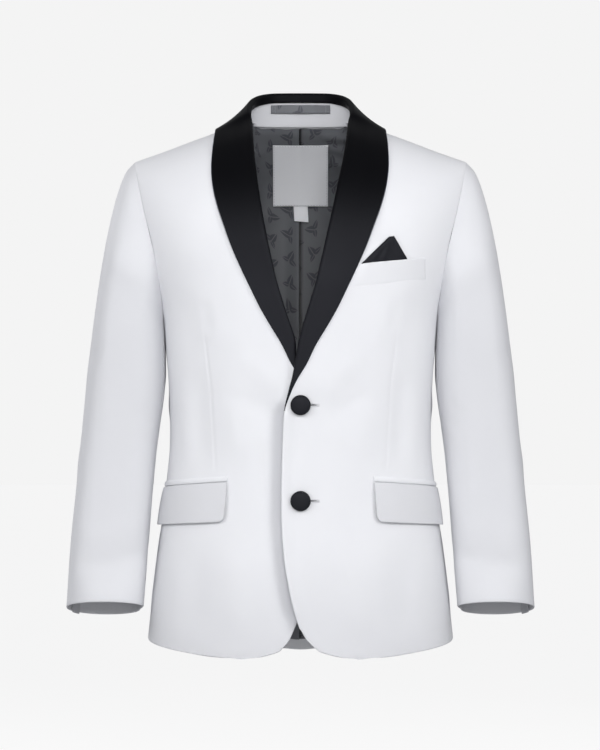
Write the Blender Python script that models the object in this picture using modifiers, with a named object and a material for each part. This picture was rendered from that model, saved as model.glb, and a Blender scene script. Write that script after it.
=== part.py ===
"""A boy's single-breasted tuxedo jacket: white cloth, black satin shawl collar and two covered buttons.

The jacket keeps the form that it has when it is worn, with nobody in it. It faces -Y, the wearer's left is +X,
and the origin lies between the shoulders, level with the neck points. Lengths are in metres, angles in degrees
where a name says so and in radians elsewhere.

The trunk is one smooth surface. A place on it is (turn, fall): turn goes round the body from the centre front
(0) past the side (90 degrees) to the centre back (180 degrees), and fall goes down from the shoulder line (0).
Each panel of the trunk is a net of such places between its own seams: the net is its inner face and the wall grows
out from it. What lies on a panel uses the same surface, moved out.
"""

import math

import bpy
import numpy as np

# Cloth walls and the gaps between pieces.
CLOTH_WALL = 0.0020
SATIN_WALL = 0.0015
LINING_WALL = 0.0010
LABEL_WALL = 0.0008
SEAM_GAP = 0.0003
HALF_GAP_TURN = SEAM_GAP / 0.24  # half the gap, as turn and as fall
HALF_GAP_FALL = SEAM_GAP / 0.20
HALF_GAP_CENTRE = (SEAM_GAP / 0.24) ** 1.25  # as turn at the centre back, where x grows with turn ** 0.8
LAYER_GAP = 0.00045

# The trunk's cross-section: |x / half_width| ** SQUARENESS + |y / depth| ** SQUARENESS = 1.
SQUARENESS = 2.5
TRUNK = (
    # height, half_width, front_depth, back_depth
    (-0.500, 0.1394, 0.0945, 0.0950),
    (-0.458, 0.1362, 0.0930, 0.0920),
    (-0.400, 0.1294, 0.0905, 0.0880),
    (-0.361, 0.1242, 0.0885, 0.0835),
    (-0.323, 0.1200, 0.0870, 0.0790),
    (-0.289, 0.1170, 0.0865, 0.0760),
    (-0.248, 0.1171, 0.0880, 0.0770),
    (-0.210, 0.1200, 0.0905, 0.0815),
    (-0.168, 0.1248, 0.0920, 0.0860),
    (-0.125, 0.1385, 0.0920, 0.0880),
    (-0.080, 0.1510, 0.0905, 0.0870),
    (-0.040, 0.1600, 0.0875, 0.0845),
    (0.000, 0.1640, 0.0840, 0.0810),
    (0.040, 0.1650, 0.0820, 0.0790),
)

# The shoulder line seen from the front, and how far below it the trunk reaches its full depth.
SHOULDER = (
    # x, ridge, front_roof, back_roof
    (0.0000, 0.0226, 0.130, 0.100),
    (0.0200, 0.0190, 0.130, 0.100),
    (0.0350, 0.0120, 0.130, 0.100),
    (0.0450, 0.0056, 0.130, 0.100),
    (0.0510, 0.0013, 0.129, 0.099),
    (0.0600, -0.0022, 0.126, 0.098),
    (0.0800, -0.0095, 0.118, 0.094),
    (0.1000, -0.0169, 0.109, 0.090),
    (0.1250, -0.0263, 0.098, 0.085),
    (0.1485, -0.0344, 0.088, 0.080),
    (0.1750, -0.0440, 0.080, 0.076),
)
SHOULDER_TIP_X = 0.1485
NECK_POINT_X = 0.0500
FALL_RADIUS = 0.100  # one unit of fall is a quarter turn of this radius

# The armhole goes round by its own angle: 0 at the shoulder tip, 90 at the front, 180 under the arm.
ARMHOLE_BOTTOM = -0.168
ARMHOLE_TIP_INSET = 24.8  # degrees of turn, away from the side
ARMHOLE_FRONT_INSET = 26.0
ARMHOLE_BACK_INSET = 28.0
ARMHOLE_STEP = 15  # degrees between two points of an armhole, on the panels and the sleeve alike
FRONT_SEAM_AT = 150  # armhole angle where the seam between front and side panel ends
BACK_SEAM_AT = 225
SHOULDER_AT = 360

# The hem, by turn in degrees.
HEM = (
    # turn, height
    (0.0, -0.4718),
    (15.0, -0.4718),
    (27.0, -0.4714),
    (45.0, -0.4675),
    (64.0, -0.4631),
    (90.0, -0.4606),
    (115.0, -0.4640),
    (150.0, -0.4755),
    (180.0, -0.4820),
)

# The front edge from the hem up to the lapel's end. x is measured from the centre towards the piece's own side.
FRONT_EDGE = (
    # x, height
    (0.0470, -0.4718),
    (0.0337, -0.4706),
    (0.0191, -0.4668),
    (0.0125, -0.4625),
    (0.0056, -0.4560),
    (0.0006, -0.4475),
    (-0.0030, -0.4395),
    (-0.0062, -0.4284),
    (-0.0100, -0.4119),
    (-0.0142, -0.3850),
    (-0.0163, -0.3550),
    (-0.0165, -0.3250),
    (-0.0158, -0.2950),
    (-0.0147, -0.2660),
    (-0.0130, -0.2525),
)

# How much further to its own side the front that lies under has its edge.
UNDER_SHIFT = (
    # height, shift
    (-0.4718, 0.0000),
    (-0.4640, 0.0023),
    (-0.4588, 0.0037),
    (-0.4403, 0.0056),
    (-0.4050, 0.0030),
    (-0.3600, 0.0000),
    (-0.3000, 0.0000),
    (-0.2500, 0.0018),
    (-0.0600, 0.0018),
    (-0.0200, 0.0000),
    (0.0200, 0.0000),
)

# The lapel's stations, from its end up to the gorge: the roll line and the outer edge, on the front.
LAPEL = (
    # roll_x, roll_z, edge_x, edge_z, inner_leg, wrap
    (-0.0106, -0.2420, -0.0086, -0.2405, 0.0002, 90.0),
    (-0.0070, -0.2270, -0.0010, -0.2270, 0.0002, 90.0),
    (-0.0028, -0.2120, 0.0062, -0.2155, 0.0002, 90.0),
    (0.0020, -0.1960, 0.0142, -0.1995, 0.0002, 90.0),
    (0.0070, -0.1800, 0.0232, -0.1845, 0.0004, 105.0),
    (0.0118, -0.1630, 0.0320, -0.1690, 0.0015, 150.0),
    (0.0161, -0.1450, 0.0405, -0.1515, 0.0035, 180.0),
    (0.0203, -0.1270, 0.0490, -0.1335, 0.0050, 180.0),
    (0.0245, -0.1090, 0.0572, -0.1150, 0.0055, 180.0),
    (0.0285, -0.0910, 0.0643, -0.0960, 0.0060, 180.0),
    (0.0325, -0.0730, 0.0708, -0.0775, 0.0065, 180.0),
    (0.0365, -0.0540, 0.0752, -0.0600, 0.0070, 180.0),
    (0.0405, -0.0350, 0.0773, -0.0430, 0.0060, 180.0),
    (0.0432, -0.0150, 0.0772, -0.0260, 0.0040, 180.0),
    (0.0447, 0.0000, 0.0762, -0.0135, 0.0024, 180.0),
)

# The standing part of the collar, from the gorge round to the centre back. edge_drop is below the shoulder line
# and counts as minus behind it.
STAND = (
    # roll_x, roll_y, roll_z, seam_x, seam_z, edge_x, edge_drop, inner_leg
    (0.0460, -0.0140, 0.0066, 0.0480, 0.0016, 0.0752, 0.0008, 0.0030),
    (0.0463, 0.0020, 0.0148, 0.0498, 0.0021, 0.0728, -0.0008, 0.0036),
    (0.0433, 0.0160, 0.0210, 0.0462, 0.0024, 0.0670, -0.0052, 0.0052),
    (0.0370, 0.0280, 0.0255, 0.0390, 0.0029, 0.0555, -0.0112, 0.0060),
    (0.0270, 0.0375, 0.0281, 0.0280, 0.0035, 0.0390, -0.0190, 0.0060),
    (0.0140, 0.0440, 0.0291, 0.0143, 0.0039, 0.0200, -0.0255, 0.0062),
    (0.0000, 0.0465, 0.0294, 0.0000, 0.0040, 0.0000, -0.0285, 0.0062),
)
COLLAR_ARC_STEPS = 5
COLLAR_FALL_STEPS = 4
COLLAR_RADIUS = CLOTH_WALL / 2 + LAYER_GAP + SATIN_WALL  # from the middle of the wall that it folds over
COLLAR_EDGE_LIFT = 0.0014  # more room under the collar's edge where it crosses the curve of the shoulder

# The fronts lap over each other: each is moved this far off the trunk's surface near the centre.
LAP_AT_LAPEL = 0.0022
LAP_AT_BUTTONS = 0.0015
LAP_FULL_X = 0.022
LAP_NONE_X = 0.062

# The sleeve below the armhole, as rings across its axis.
SLEEVE = (
    # height, inner_x, outer_x, centre_y, half_depth, rise (degrees), pitch (degrees)
    (-0.2000, 0.1228, 0.1878, 0.0020, 0.0470, 8.0, 0.0),
    (-0.2240, 0.1226, 0.1910, 0.0025, 0.0450, 7.0, 0.5),
    (-0.2480, 0.1236, 0.1932, 0.0027, 0.0432, 6.0, 1.0),
    (-0.2700, 0.1262, 0.1953, 0.0025, 0.0418, 5.0, 3.0),
    (-0.2920, 0.1290, 0.1974, 0.0015, 0.0404, 4.0, 5.0),
    (-0.3180, 0.1314, 0.1998, -0.0010, 0.0388, 3.0, 8.0),
    (-0.3450, 0.1335, 0.2023, -0.0045, 0.0374, 2.0, 11.0),
    (-0.3740, 0.1354, 0.2050, -0.0090, 0.0360, 1.0, 13.0),
    (-0.4040, 0.1374, 0.2070, -0.0145, 0.0348, 0.0, 15.0),
    (-0.4335, 0.1394, 0.2088, -0.0205, 0.0338, 0.0, 16.0),
)
SLEEVE_HEAD_STEPS = 6
FOREARM_SEAM = (150.0, 156.0)  # armhole angle of the front sleeve seam, at the armhole and at the cuff
HIND_SEAM = (-105.0, -42.0)
SLEEVE_TOP_STEPS = 17
SLEEVE_UNDER_STEPS = 7
ARMHOLE_GAP = 0.0009

# The underlap of the cuff's vent, which shows a corner below the cuff.
VENT_HEIGHT = 0.045
VENT_TURN = 23.0
VENT_BELOW = 0.0035

# Hip pockets: the flap's four corners by turn and height, and the jet above it.
FLAP_FROM = 27.0
FLAP_TO = 82.0
FLAP_TOP = (-0.3192, -0.3262)
FLAP_BOTTOM = (-0.3540, -0.3600)
FLAP_CORNER = 0.0060
FLAP_WALL = 0.0016
FLAP_STANDS_OFF = 0.0010
JET_HEIGHT = 0.0048
JET_WALL = 0.0012

# The breast welt, on the wearer's left, and the satin square in it.
WELT_TO_X = 0.1090
WELT_TOP = (-0.1295, -0.1232)
WELT_BOTTOM = (-0.1492, -0.1428)
WELT_FROM_X = 0.0440
WELT_WALL = 0.0012
SQUARE_LEFT_X = 0.0545
SQUARE_PEAK = (0.0770, 0.0805, -0.1036)  # from x, to x, height
SQUARE_RIGHT_X = 0.0935
SQUARE_WALL = 0.0018

BUTTON_RADIUS = 0.0088
BUTTON_THICKNESS = 0.0052
BUTTON_HEIGHTS = {"button_upper": -0.2519, "button_lower": -0.3353}

LINING_ABOVE_HEM = 0.010
PLEAT_LAP = 0.0045
PLEAT_LIFT = 0.0014
LABELS = {
    # half_width, top, bottom
    "label_large": (0.0254, -0.0112, -0.0685),
    "label_small": (0.0066, -0.0697, -0.0830),
}
LOOP_HALF_WIDTH = 0.0268
LOOP_HEIGHT = 0.0077
LOOP_BOW = 0.0016


def column(table, index):
    return np.array([row[index] for row in table], float)


def smooth(table, index, at):
    """The table's column at any value of its first column, along a smooth curve through the rows."""
    key = column(table, 0)
    values = column(table, index)
    slopes = np.gradient(values, key)
    at = np.clip(np.asarray(at, float), key[0], key[-1])
    low = np.clip(np.searchsorted(key, at, side="right") - 1, 0, len(key) - 2)
    width = key[low + 1] - key[low]
    s = (at - key[low]) / width
    return (
        values[low] * (1 + 2 * s) * (1 - s) ** 2
        + slopes[low] * width * s * (1 - s) ** 2
        + values[low + 1] * s**2 * (3 - 2 * s)
        + slopes[low + 1] * width * s**2 * (s - 1)
    )


def signed_power(value, power):
    return np.sign(value) * np.abs(value) ** power


def unit(vectors):
    return vectors / np.linalg.norm(vectors, axis=-1, keepdims=True)


def ease(value, start, end):
    """0 at start, 1 at end, with a soft way between."""
    s = np.clip((np.asarray(value, float) - start) / (end - start), 0.0, 1.0)
    return s * s * (3 - 2 * s)


def drop_of(fall):
    """Height lost below the shoulder line: a quarter turn over the shoulder, then straight down."""
    fall = np.asarray(fall, float)
    over = 1 - np.cos(np.clip(fall, 0, 1) * math.pi / 2)
    return FALL_RADIUS * (over + np.maximum(fall - 1, 0) * math.pi / 2)


def fall_of(drop):
    drop = np.maximum(np.asarray(drop, float), 0.0) / FALL_RADIUS
    over = np.arccos(1 - np.minimum(drop, 1)) * 2 / math.pi
    return over + np.maximum(drop - 1, 0) * 2 / math.pi


def ridge(x):
    return smooth(SHOULDER, 1, np.abs(x))


def trunk_bare(turn, fall):
    """Points of the trunk's outer surface."""
    sine = np.sin(turn)
    cosine = np.cos(turn)
    drop = drop_of(fall)
    height = np.full(np.broadcast(turn, fall).shape, -0.1)
    for _ in range(8):
        x = smooth(TRUNK, 1, height) * signed_power(sine, 2 / SQUARENESS)
        height = ridge(x) - drop
    front = cosine >= 0
    depth = np.where(front, smooth(TRUNK, 2, height), smooth(TRUNK, 3, height))
    roof = np.where(front, smooth(SHOULDER, 2, np.abs(x)), smooth(SHOULDER, 3, np.abs(x)))
    rounding = np.sqrt(1 - (1 - np.minimum(drop / roof, 1)) ** 2)
    y = -signed_power(cosine, 2 / SQUARENESS) * depth * rounding
    return np.stack(np.broadcast_arrays(x, y, height), axis=-1)


def trunk(turn, fall):
    """Points and outward normals of the trunk's outer surface."""
    turn, fall = np.broadcast_arrays(np.asarray(turn, float), np.asarray(fall, float))
    step = 0.004
    along = trunk_bare(turn + step, fall) - trunk_bare(turn - step, fall)
    down = trunk_bare(turn, fall + step) - trunk_bare(turn, np.maximum(fall - step, 0))
    return trunk_bare(turn, fall), unit(np.cross(down, along))


def place(x, height, behind=False):
    """The (turn, fall) of a point of the trunk given by its x and height."""
    share = np.minimum(np.abs(x) / smooth(TRUNK, 1, height), 1.0)
    turn = np.arcsin(np.sign(x) * share ** (SQUARENESS / 2))
    return (math.pi - turn if behind else turn), fall_of(ridge(x) - height)


def armhole_place(angle):
    """The (turn, fall) of a point of the armhole."""
    angle = np.radians(angle)
    up = np.cos(angle)
    across = np.abs(np.sin(angle))
    behind = np.sin(angle) < 0
    inset = np.where(behind, ARMHOLE_BACK_INSET, ARMHOLE_FRONT_INSET)
    upper = ARMHOLE_TIP_INSET + (inset - ARMHOLE_TIP_INSET) * across
    inset = np.radians(np.where(up > 0, upper, inset * across**1.15))
    top = ridge(SHOULDER_TIP_X)
    height = ARMHOLE_BOTTOM + (top - ARMHOLE_BOTTOM) * (1 + up) / 2
    x = smooth(TRUNK, 1, height) * np.cos(inset) ** (2 / SQUARENESS)
    fall = np.where(up > 0.9999, 0.0, fall_of(ridge(x) - height))
    return np.where(behind, math.pi / 2 + inset, math.pi / 2 - inset), fall


def hem_place(turn):
    """The (turn, fall) of the hem under the given turn."""
    height = smooth(HEM, 1, np.degrees(np.abs(turn)))
    x = smooth(TRUNK, 1, height) * signed_power(np.sin(turn), 2 / SQUARENESS)
    return np.asarray(turn, float), fall_of(ridge(x) - height)


def steps(start, end, count):
    return np.linspace(start, end, count + 1)


def pairs(place_of_points):
    """Two arrays of turns and falls as one array of pairs."""
    return np.stack(np.broadcast_arrays(*place_of_points), axis=-1)


def coons(left, right, bottom, top):
    """A net of (turn, fall) pairs between four boundaries that meet at their ends."""
    across = shares(bottom, top)[None, :, None]
    up = shares(left, right)[:, None, None]
    sides = (1 - across) * left[:, None] + across * right[:, None]
    ends = (1 - up) * bottom[None] + up * top[None]
    corners = (
        (1 - across) * (1 - up) * bottom[0]
        + across * (1 - up) * bottom[-1]
        + (1 - across) * up * top[0]
        + across * up * top[-1]
    )
    return sides + ends - corners


def relaxed(net, rounds):
    """The net with its inner places spread evenly, which opens the flat corner where hem and front edge meet."""
    for _ in range(rounds):
        around = (net[:-2, 1:-1] + net[2:, 1:-1] + net[1:-1, :-2] + net[1:-1, 2:]) / 4
        net[1:-1, 1:-1] = (net[1:-1, 1:-1] + around) / 2
    return net


def shares(first, second):
    """How far along its length each point of two like boundaries lies, from 0 to 1."""
    both = []
    for boundary in (first, second):
        points = trunk_bare(boundary[:, 0], boundary[:, 1])
        run = np.concatenate([[0], np.cumsum(np.linalg.norm(np.diff(points, axis=0), axis=1))])
        both.append(run / run[-1])
    return (both[0] + both[1]) / 2


def lap(x, height):
    """How far a front stands off the trunk's surface where the two fronts cross."""
    near = 1 - ease(np.abs(x), LAP_FULL_X, LAP_NONE_X)
    full = LAP_AT_BUTTONS + (LAP_AT_LAPEL - LAP_AT_BUTTONS) * ease(height, -0.290, -0.255)
    return near * full * (1 - ease(height, -0.150, -0.110))


def front_lift(points, over):
    """The lapping of a front's points: outwards on the one that lies over, inwards on the other."""
    return (lap(points[..., 0], points[..., 2]) * (1 if over else -1))[..., None]


def shift(height, over):
    """How much further to its own side than the tables say a front has its edge and its roll line."""
    return smooth(UNDER_SHIFT, 1, height) * (0.0 if over else 1.0)


def front_edge_places(over):
    """The front's free edge: from the hem up the cutaway and the roll line to the neck point."""
    rolls = [(row[0], row[1]) for row in LAPEL]
    neck = [(STAND[0][3], STAND[0][4]), (NECK_POINT_X, float(ridge(NECK_POINT_X)))]
    points = np.array([*FRONT_EDGE, *rolls, *neck])
    height = points[:, 1]
    return pairs(place(points[:, 0] + shift(height, over), height))


def seam_turns():
    """The turns of the two seams of the side panel."""
    turns, _ = armhole_place(np.array([FRONT_SEAM_AT, BACK_SEAM_AT]))
    return float(turns[0]), float(turns[1])


def side_of_panel(turn, angles, rows):
    """A panel's side: up its seam from the hem, then up the armhole through the given angles."""
    armhole = pairs(armhole_place(angles))
    foot = pairs(hem_place(turn))
    share = steps(0, 1, rows)[:-1, None]
    return np.concatenate([foot + share * (armhole[0] - foot), armhole])


def front_net(over):
    left = front_edge_places(over)
    seam_turn, _ = seam_turns()
    angles = np.arange(FRONT_SEAM_AT, -1, -ARMHOLE_STEP)
    right = side_of_panel(seam_turn, angles, len(left) - len(angles))
    columns = 12
    bottom = pairs(hem_place(steps(left[0, 0], seam_turn, columns)))
    shoulder_x = steps(NECK_POINT_X, SHOULDER_TIP_X, columns)
    top = pairs(place(shoulder_x, ridge(shoulder_x)))
    net = relaxed(coons(left, right, bottom, top), 6)
    net[:, -1, 0] -= HALF_GAP_TURN
    net[-1, :, 1] += HALF_GAP_FALL
    return net


def side_net():
    first, last = seam_turns()
    angles = np.arange(FRONT_SEAM_AT, BACK_SEAM_AT + 1, ARMHOLE_STEP)
    top = pairs(armhole_place(angles))
    turns = top[:, 0]
    bottom = pairs(hem_place(turns))
    share = steps(0, 1, 18)[:, None, None]
    net = bottom[None] * (1 - share) + top[None] * share
    net[:, 0, 0] += HALF_GAP_TURN
    net[:, -1, 0] -= HALF_GAP_TURN
    return net


def back_net():
    rows = 13
    _, seam_turn = seam_turns()
    angles = np.arange(BACK_SEAM_AT, SHOULDER_AT + 1, ARMHOLE_STEP)
    right = side_of_panel(seam_turn, angles, rows)
    neck_x = np.array([0.0, 0.0143, 0.0280, 0.0390, NECK_POINT_X])
    neck_z = np.array([0.0040, 0.00375, 0.0035, 0.0029, float(ridge(NECK_POINT_X))])
    shoulder_x = steps(NECK_POINT_X, SHOULDER_TIP_X, 7)[1:]
    neckline = pairs(place(neck_x, neck_z, behind=True))
    shoulder = pairs(place(shoulder_x, ridge(shoulder_x), behind=True))
    top = np.concatenate([neckline, shoulder])
    bottom = pairs(hem_place(steps(math.pi, seam_turn, len(top) - 1)))
    share = steps(0, 1, len(right) - 1)[:, None]
    left = bottom[0] * (1 - share) + top[0] * share
    net = coons(left, right, bottom, top)
    net[:, 0, 0] -= HALF_GAP_CENTRE
    net[:, -1, 0] += HALF_GAP_TURN
    net[-1, len(neck_x) - 1:, 1] += HALF_GAP_FALL
    return net


def mirrored(points, hand):
    return points * np.array([hand, 1.0, 1.0])


def cloth(name, points, outward, wall, material, hand=1, grows=1.0):
    """A net of points as one cloth wall. The outward vector is that of its middle point, and the wall grows
    outwards from the net, or inwards where grows is -1."""
    points = mirrored(points, hand)
    outward = np.asarray(outward, float) * np.array([hand, 1.0, 1.0])
    rows, columns = points.shape[:2]
    mesh = bpy.data.meshes.new(name)
    corner = [[r * columns + c for c in range(columns)] for r in range(rows)]
    faces = [
        (corner[r][c], corner[r][c + 1], corner[r + 1][c + 1], corner[r + 1][c])
        for r in range(rows - 1)
        for c in range(columns - 1)
    ]
    r, c = rows // 2, columns // 2
    across = points[r, c] - points[r, c - 1]
    up = points[r, c] - points[r - 1, c]
    if np.dot(np.cross(across, up), outward) < 0:
        faces = [face[::-1] for face in faces]
    mesh.from_pydata(points.reshape(-1, 3).tolist(), [], faces)
    mesh.materials.append(material)
    mesh.shade_smooth()
    obj = bpy.data.objects.new(name, mesh)
    jacket.objects.link(obj)
    solid = obj.modifiers.new("wall", "SOLIDIFY")
    solid.thickness = wall
    solid.offset = grows
    solid.use_even_offset = True
    return obj


def panel(name, net, material, hand, lift):
    """A cloth wall whose inner face is the net of trunk places, moved out by lift."""
    points, normals = trunk(net[..., 0], net[..., 1])
    middle = normals[net.shape[0] // 2, net.shape[1] // 2]
    return cloth(name, points + normals * lift, middle, CLOTH_WALL, material, hand)


def build_trunk(cloth_material):
    for side, hand in (("left", 1), ("right", -1)):
        over = hand > 0
        net = front_net(over)
        points, _ = trunk(net[..., 0], net[..., 1])
        panel(f"front_{side}", net, cloth_material, hand, front_lift(points, over) - CLOTH_WALL)
        panel(f"side_{side}", side_net(), cloth_material, hand, -CLOTH_WALL)
        panel(f"back_{side}", back_net(), cloth_material, hand, -CLOTH_WALL)


def moved_in(points, outward, distance):
    """A net moved against its own outward normals."""
    across = np.gradient(points, axis=1, edge_order=2)
    up = np.gradient(points, axis=0, edge_order=2)
    normals = unit(np.cross(across, up))
    r, c = points.shape[0] // 2, points.shape[1] // 2
    side = 1.0 if np.dot(normals[r, c], outward) > 0 else -1.0
    return points - normals * side * distance


def sleeve_ring(height, angle):
    """A point of the sleeve below the armhole, and the middle of its ring."""
    inner, outer, centre_y, half_depth, rise, pitch = (smooth(SLEEVE_UP, i, height) for i in range(1, 7))
    middle = np.stack([(inner + outer) / 2, centre_y, height], axis=-1)
    half_width = (outer - inner) / 2
    rise, pitch, angle = np.radians(rise), np.radians(pitch), np.radians(angle)
    out = np.stack([np.cos(rise), 0 * rise, np.sin(rise)], axis=-1)
    front = np.stack([0 * pitch, -np.cos(pitch), np.sin(pitch)], axis=-1)
    offset = out * (half_width * np.cos(angle))[..., None] + front * (half_depth * np.sin(angle))[..., None]
    return middle + offset, middle


SLEEVE_UP = SLEEVE[::-1]


def sleeve_net(start_angles, end_angles):
    """The sleeve's rings between two seams, from the armhole down to the cuff."""
    heights = column(SLEEVE, 0)
    share = np.linspace(0, 1, len(heights))[:, None]
    angles = start_angles[None] * (1 - share) + end_angles[None] * share
    rings, middles = sleeve_ring(np.broadcast_to(heights[:, None], angles.shape).copy(), angles)
    turn, fall = armhole_place(start_angles)
    seam, _ = trunk(turn, fall)
    top = np.radians(start_angles)
    out = np.array([1.0, 0.0, 0.0])
    seam = seam + ARMHOLE_GAP * out * np.clip(1.2 + np.cos(top), 0, 1)[:, None]
    chord = np.linalg.norm(rings[0] - seam, axis=1)[:, None]
    outwards = 0.06 + 0.28 * ((1 + np.cos(top)) / 2) + 0.23 * np.sin(top) ** 2
    forwards = -0.10 * np.sin(top)
    down = 0.13 + 0.87 * ((1 - np.cos(top)) / 2)
    leave = np.stack([outwards, forwards, -down], axis=-1) * chord
    arrive = unit(rings[1] - rings[0]) * chord
    head = []
    for s in steps(0, 1, SLEEVE_HEAD_STEPS)[:-1]:
        head.append(
            seam * (1 + 2 * s) * (1 - s) ** 2
            + leave * s * (1 - s) ** 2
            + rings[0] * s**2 * (3 - 2 * s)
            + arrive * s**2 * (s - 1)
        )
    return np.concatenate([np.array(head), rings])


def build_sleeves(cloth_material):
    gap = np.degrees(SEAM_GAP / 2 / 0.035)
    for side, hand in (("left", 1), ("right", -1)):
        pieces = {
            "top": (HIND_SEAM, FOREARM_SEAM, SLEEVE_TOP_STEPS),
            "under": (FOREARM_SEAM, (HIND_SEAM[0] + 360, HIND_SEAM[1] + 360), SLEEVE_UNDER_STEPS),
        }
        for name, (first, last, count) in pieces.items():
            starts = steps(first[0], last[0], count)
            ends = steps(first[1], last[1], count)
            for angles in (starts, ends):
                angles[0] += gap
                angles[-1] -= gap
            net = sleeve_net(starts, ends)
            r, c = len(net) // 2, len(starts) // 2
            middle = np.array([(SLEEVE[2][1] + SLEEVE[2][2]) / 2, 0.0, net[r, c, 2]])
            outward = net[r, c] - middle
            net = moved_in(net, outward, CLOTH_WALL)
            cloth(f"sleeve_{name}_{side}", net, outward, CLOTH_WALL, cloth_material, hand)
        build_vent(side, hand, cloth_material)


def build_vent(side, hand, cloth_material):
    cuff = SLEEVE[-1][0]
    angles = steps(HIND_SEAM[1] + 1.0, HIND_SEAM[1] + VENT_TURN, 3)
    rows = steps(cuff - VENT_BELOW, cuff + VENT_HEIGHT, 5)
    height, angle = np.meshgrid(rows, angles, indexing="ij")
    points, middles = sleeve_ring(np.maximum(height, cuff), angle)
    below = np.minimum(height - cuff, 0)
    outward = unit((points - middles) * np.array([1.0, 1.0, 0.3]))
    points = points - outward * (CLOTH_WALL + LAYER_GAP + SEAM_GAP / 2 + SATIN_WALL)
    points[..., 2] += below
    cloth(f"vent_{side}", points, outward[2, 1], SATIN_WALL, cloth_material, hand)


def collar_stations(over):
    """For each station of a collar half, from the lapel's end to the centre back: where it folds, the directions
    down into the wall it folds over and out of it, and its outer edge."""
    stations = []
    for roll_x, roll_z, edge_x, edge_z, inner_leg, wrap in LAPEL:
        stations.append(
            {
                "roll": place(roll_x + shift(roll_z, over), roll_z),
                "edge": place(edge_x + shift(edge_z, over), edge_z),
                "leg": inner_leg,
                "wrap": wrap,
            }
        )
    for roll_x, roll_y, roll_z, seam_x, seam_z, edge_x, edge_drop, inner_leg in STAND:
        behind = roll_y > 0
        stations.append(
            {
                "fold": np.array([roll_x, roll_y, roll_z]),
                "seam": place(seam_x, seam_z, behind),
                "edge": place(edge_x, float(ridge(edge_x)) - abs(edge_drop), edge_drop < 0),
                "leg": inner_leg,
                "wrap": 180.0,
            }
        )
    return stations


def collar_net(over):
    """A collar half: a leg inside, round the fold, and the fall or lapel out to its edge."""
    stations = collar_stations(over)
    lapels = len(LAPEL)
    folds, downs, outs, edges, edge_normals = [], [], [], [], []
    for number, station in enumerate(stations):
        edge, edge_normal = trunk(*station["edge"])
        lift = front_lift(edge, over)[0] if number < lapels else 0.0
        lift = lift + COLLAR_EDGE_LIFT * ease(edge[2], -0.085, -0.045)
        edges.append(edge + edge_normal * (lift - CLOTH_WALL / 2))
        edge_normals.append(edge_normal)
        if number < lapels:
            fold, normal = trunk(*station["roll"])
            folds.append(fold + normal * (front_lift(fold, over)[0] - CLOTH_WALL / 2))
            outs.append(normal)
            downs.append(unit(edges[-1] - folds[-1]))
        else:
            seam, normal = trunk(*station["seam"])
            seam = seam - normal * CLOTH_WALL / 2
            folds.append(station["fold"])
            downs.append(unit(seam - station["fold"]))
            outs.append(None)
    folds = np.array(folds)
    tangents = unit(np.gradient(folds, axis=0))
    rows = []
    turning = {lapels - 1: 0.50, lapels - 2: 0.25, lapels - 3: 0.10}
    for number, station in enumerate(stations):
        fold, tangent, down = folds[number], tangents[number], downs[number]
        if number >= lapels:
            out = unit(np.cross(tangent, down))
            if np.dot(out, edges[number] - fold) < 0:
                out = -out
        else:
            out = outs[number]
            down = unit(down - out * np.dot(down, out))
        share = turning.get(number, 0.0)
        if share:
            down = unit(down * (1 - share) + np.array([0.15, 0.0, -1.0]) * share)
            out = unit(np.cross(tangent, down))
            if np.dot(out, edges[number] - fold) < 0:
                out = -out
        down = unit(down - tangent * np.dot(down, tangent))
        out = unit(out - tangent * np.dot(out, tangent) - down * np.dot(out, down))
        fall = edges[number] - fold
        lean = math.atan2(max(np.dot(fall, out), 0.0), np.dot(fall, down))
        start = fold - out * COLLAR_RADIUS
        wrap = math.radians(station["wrap"])
        line = [start + down * station["leg"]] if station["wrap"] == 180.0 else []
        first = math.pi - wrap
        for angle in steps(first, math.pi - lean, COLLAR_ARC_STEPS):
            line.append(fold + COLLAR_RADIUS * (-out * math.cos(angle) - down * math.sin(angle)))
        if station["wrap"] != 180.0:
            ahead = unit(line[1] - line[0])
            line.insert(0, line[0] - ahead * station["leg"])
        begin = line[-1]
        finish = edges[number] + edge_normals[number] * COLLAR_RADIUS
        for share_out in steps(0, 1, COLLAR_FALL_STEPS)[1:]:
            straight = begin * (1 - share_out) + finish * share_out
            if number < lapels:
                roll = np.array(station["roll"])
                edge = np.array(station["edge"])
                on_front, normal = trunk(*(roll * (1 - share_out) + edge * share_out))
                lift = front_lift(on_front, over)[0] - CLOTH_WALL / 2 + COLLAR_RADIUS
                lying = on_front + normal * lift
                weight = 1.0 - share
                point = straight * (1 - weight) + lying * weight
            else:
                point = straight
            line.append(point)
        rows.append(line)
    return np.array(rows)


def build_collar(satin, cloth_material):
    for side, hand in (("left", 1), ("right", -1)):
        net = collar_net(over=hand > 0)
        net[-1, :, 0] = SEAM_GAP
        cloth(f"collar_{side}", net, (0.3, -0.7, 0.6), SATIN_WALL, satin, hand, grows=-1.0)
    build_stand(cloth_material)


def stand_lines():
    """The stand's lower and upper edge on the wearer's left, at the middle of its wall."""
    lower, upper = [], []
    for roll_x, roll_y, roll_z, seam_x, seam_z, *_ in STAND:
        seam, normal = trunk(*place(seam_x, seam_z, roll_y > 0))
        seam = seam - normal * CLOTH_WALL / 2
        fold = np.array([roll_x, roll_y, roll_z])
        lower.append(seam + unit(fold - seam) * (SEAM_GAP + CLOTH_WALL * 0.5))
        upper.append(fold)
    return np.array(lower), np.array(upper)


def build_stand(cloth_material):
    lower, upper = stand_lines()
    lower = np.concatenate([lower, mirrored(lower[-2::-1], -1)])
    upper = np.concatenate([upper, mirrored(upper[-2::-1], -1)])
    share = steps(0, 1, 2)[:, None, None]
    points = lower[None] * (1 - share) + upper[None] * share
    obj = cloth("collar_stand", points, (0, 1, 0), CLOTH_WALL, cloth_material)
    obj.modifiers["wall"].offset = 0.0


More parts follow.
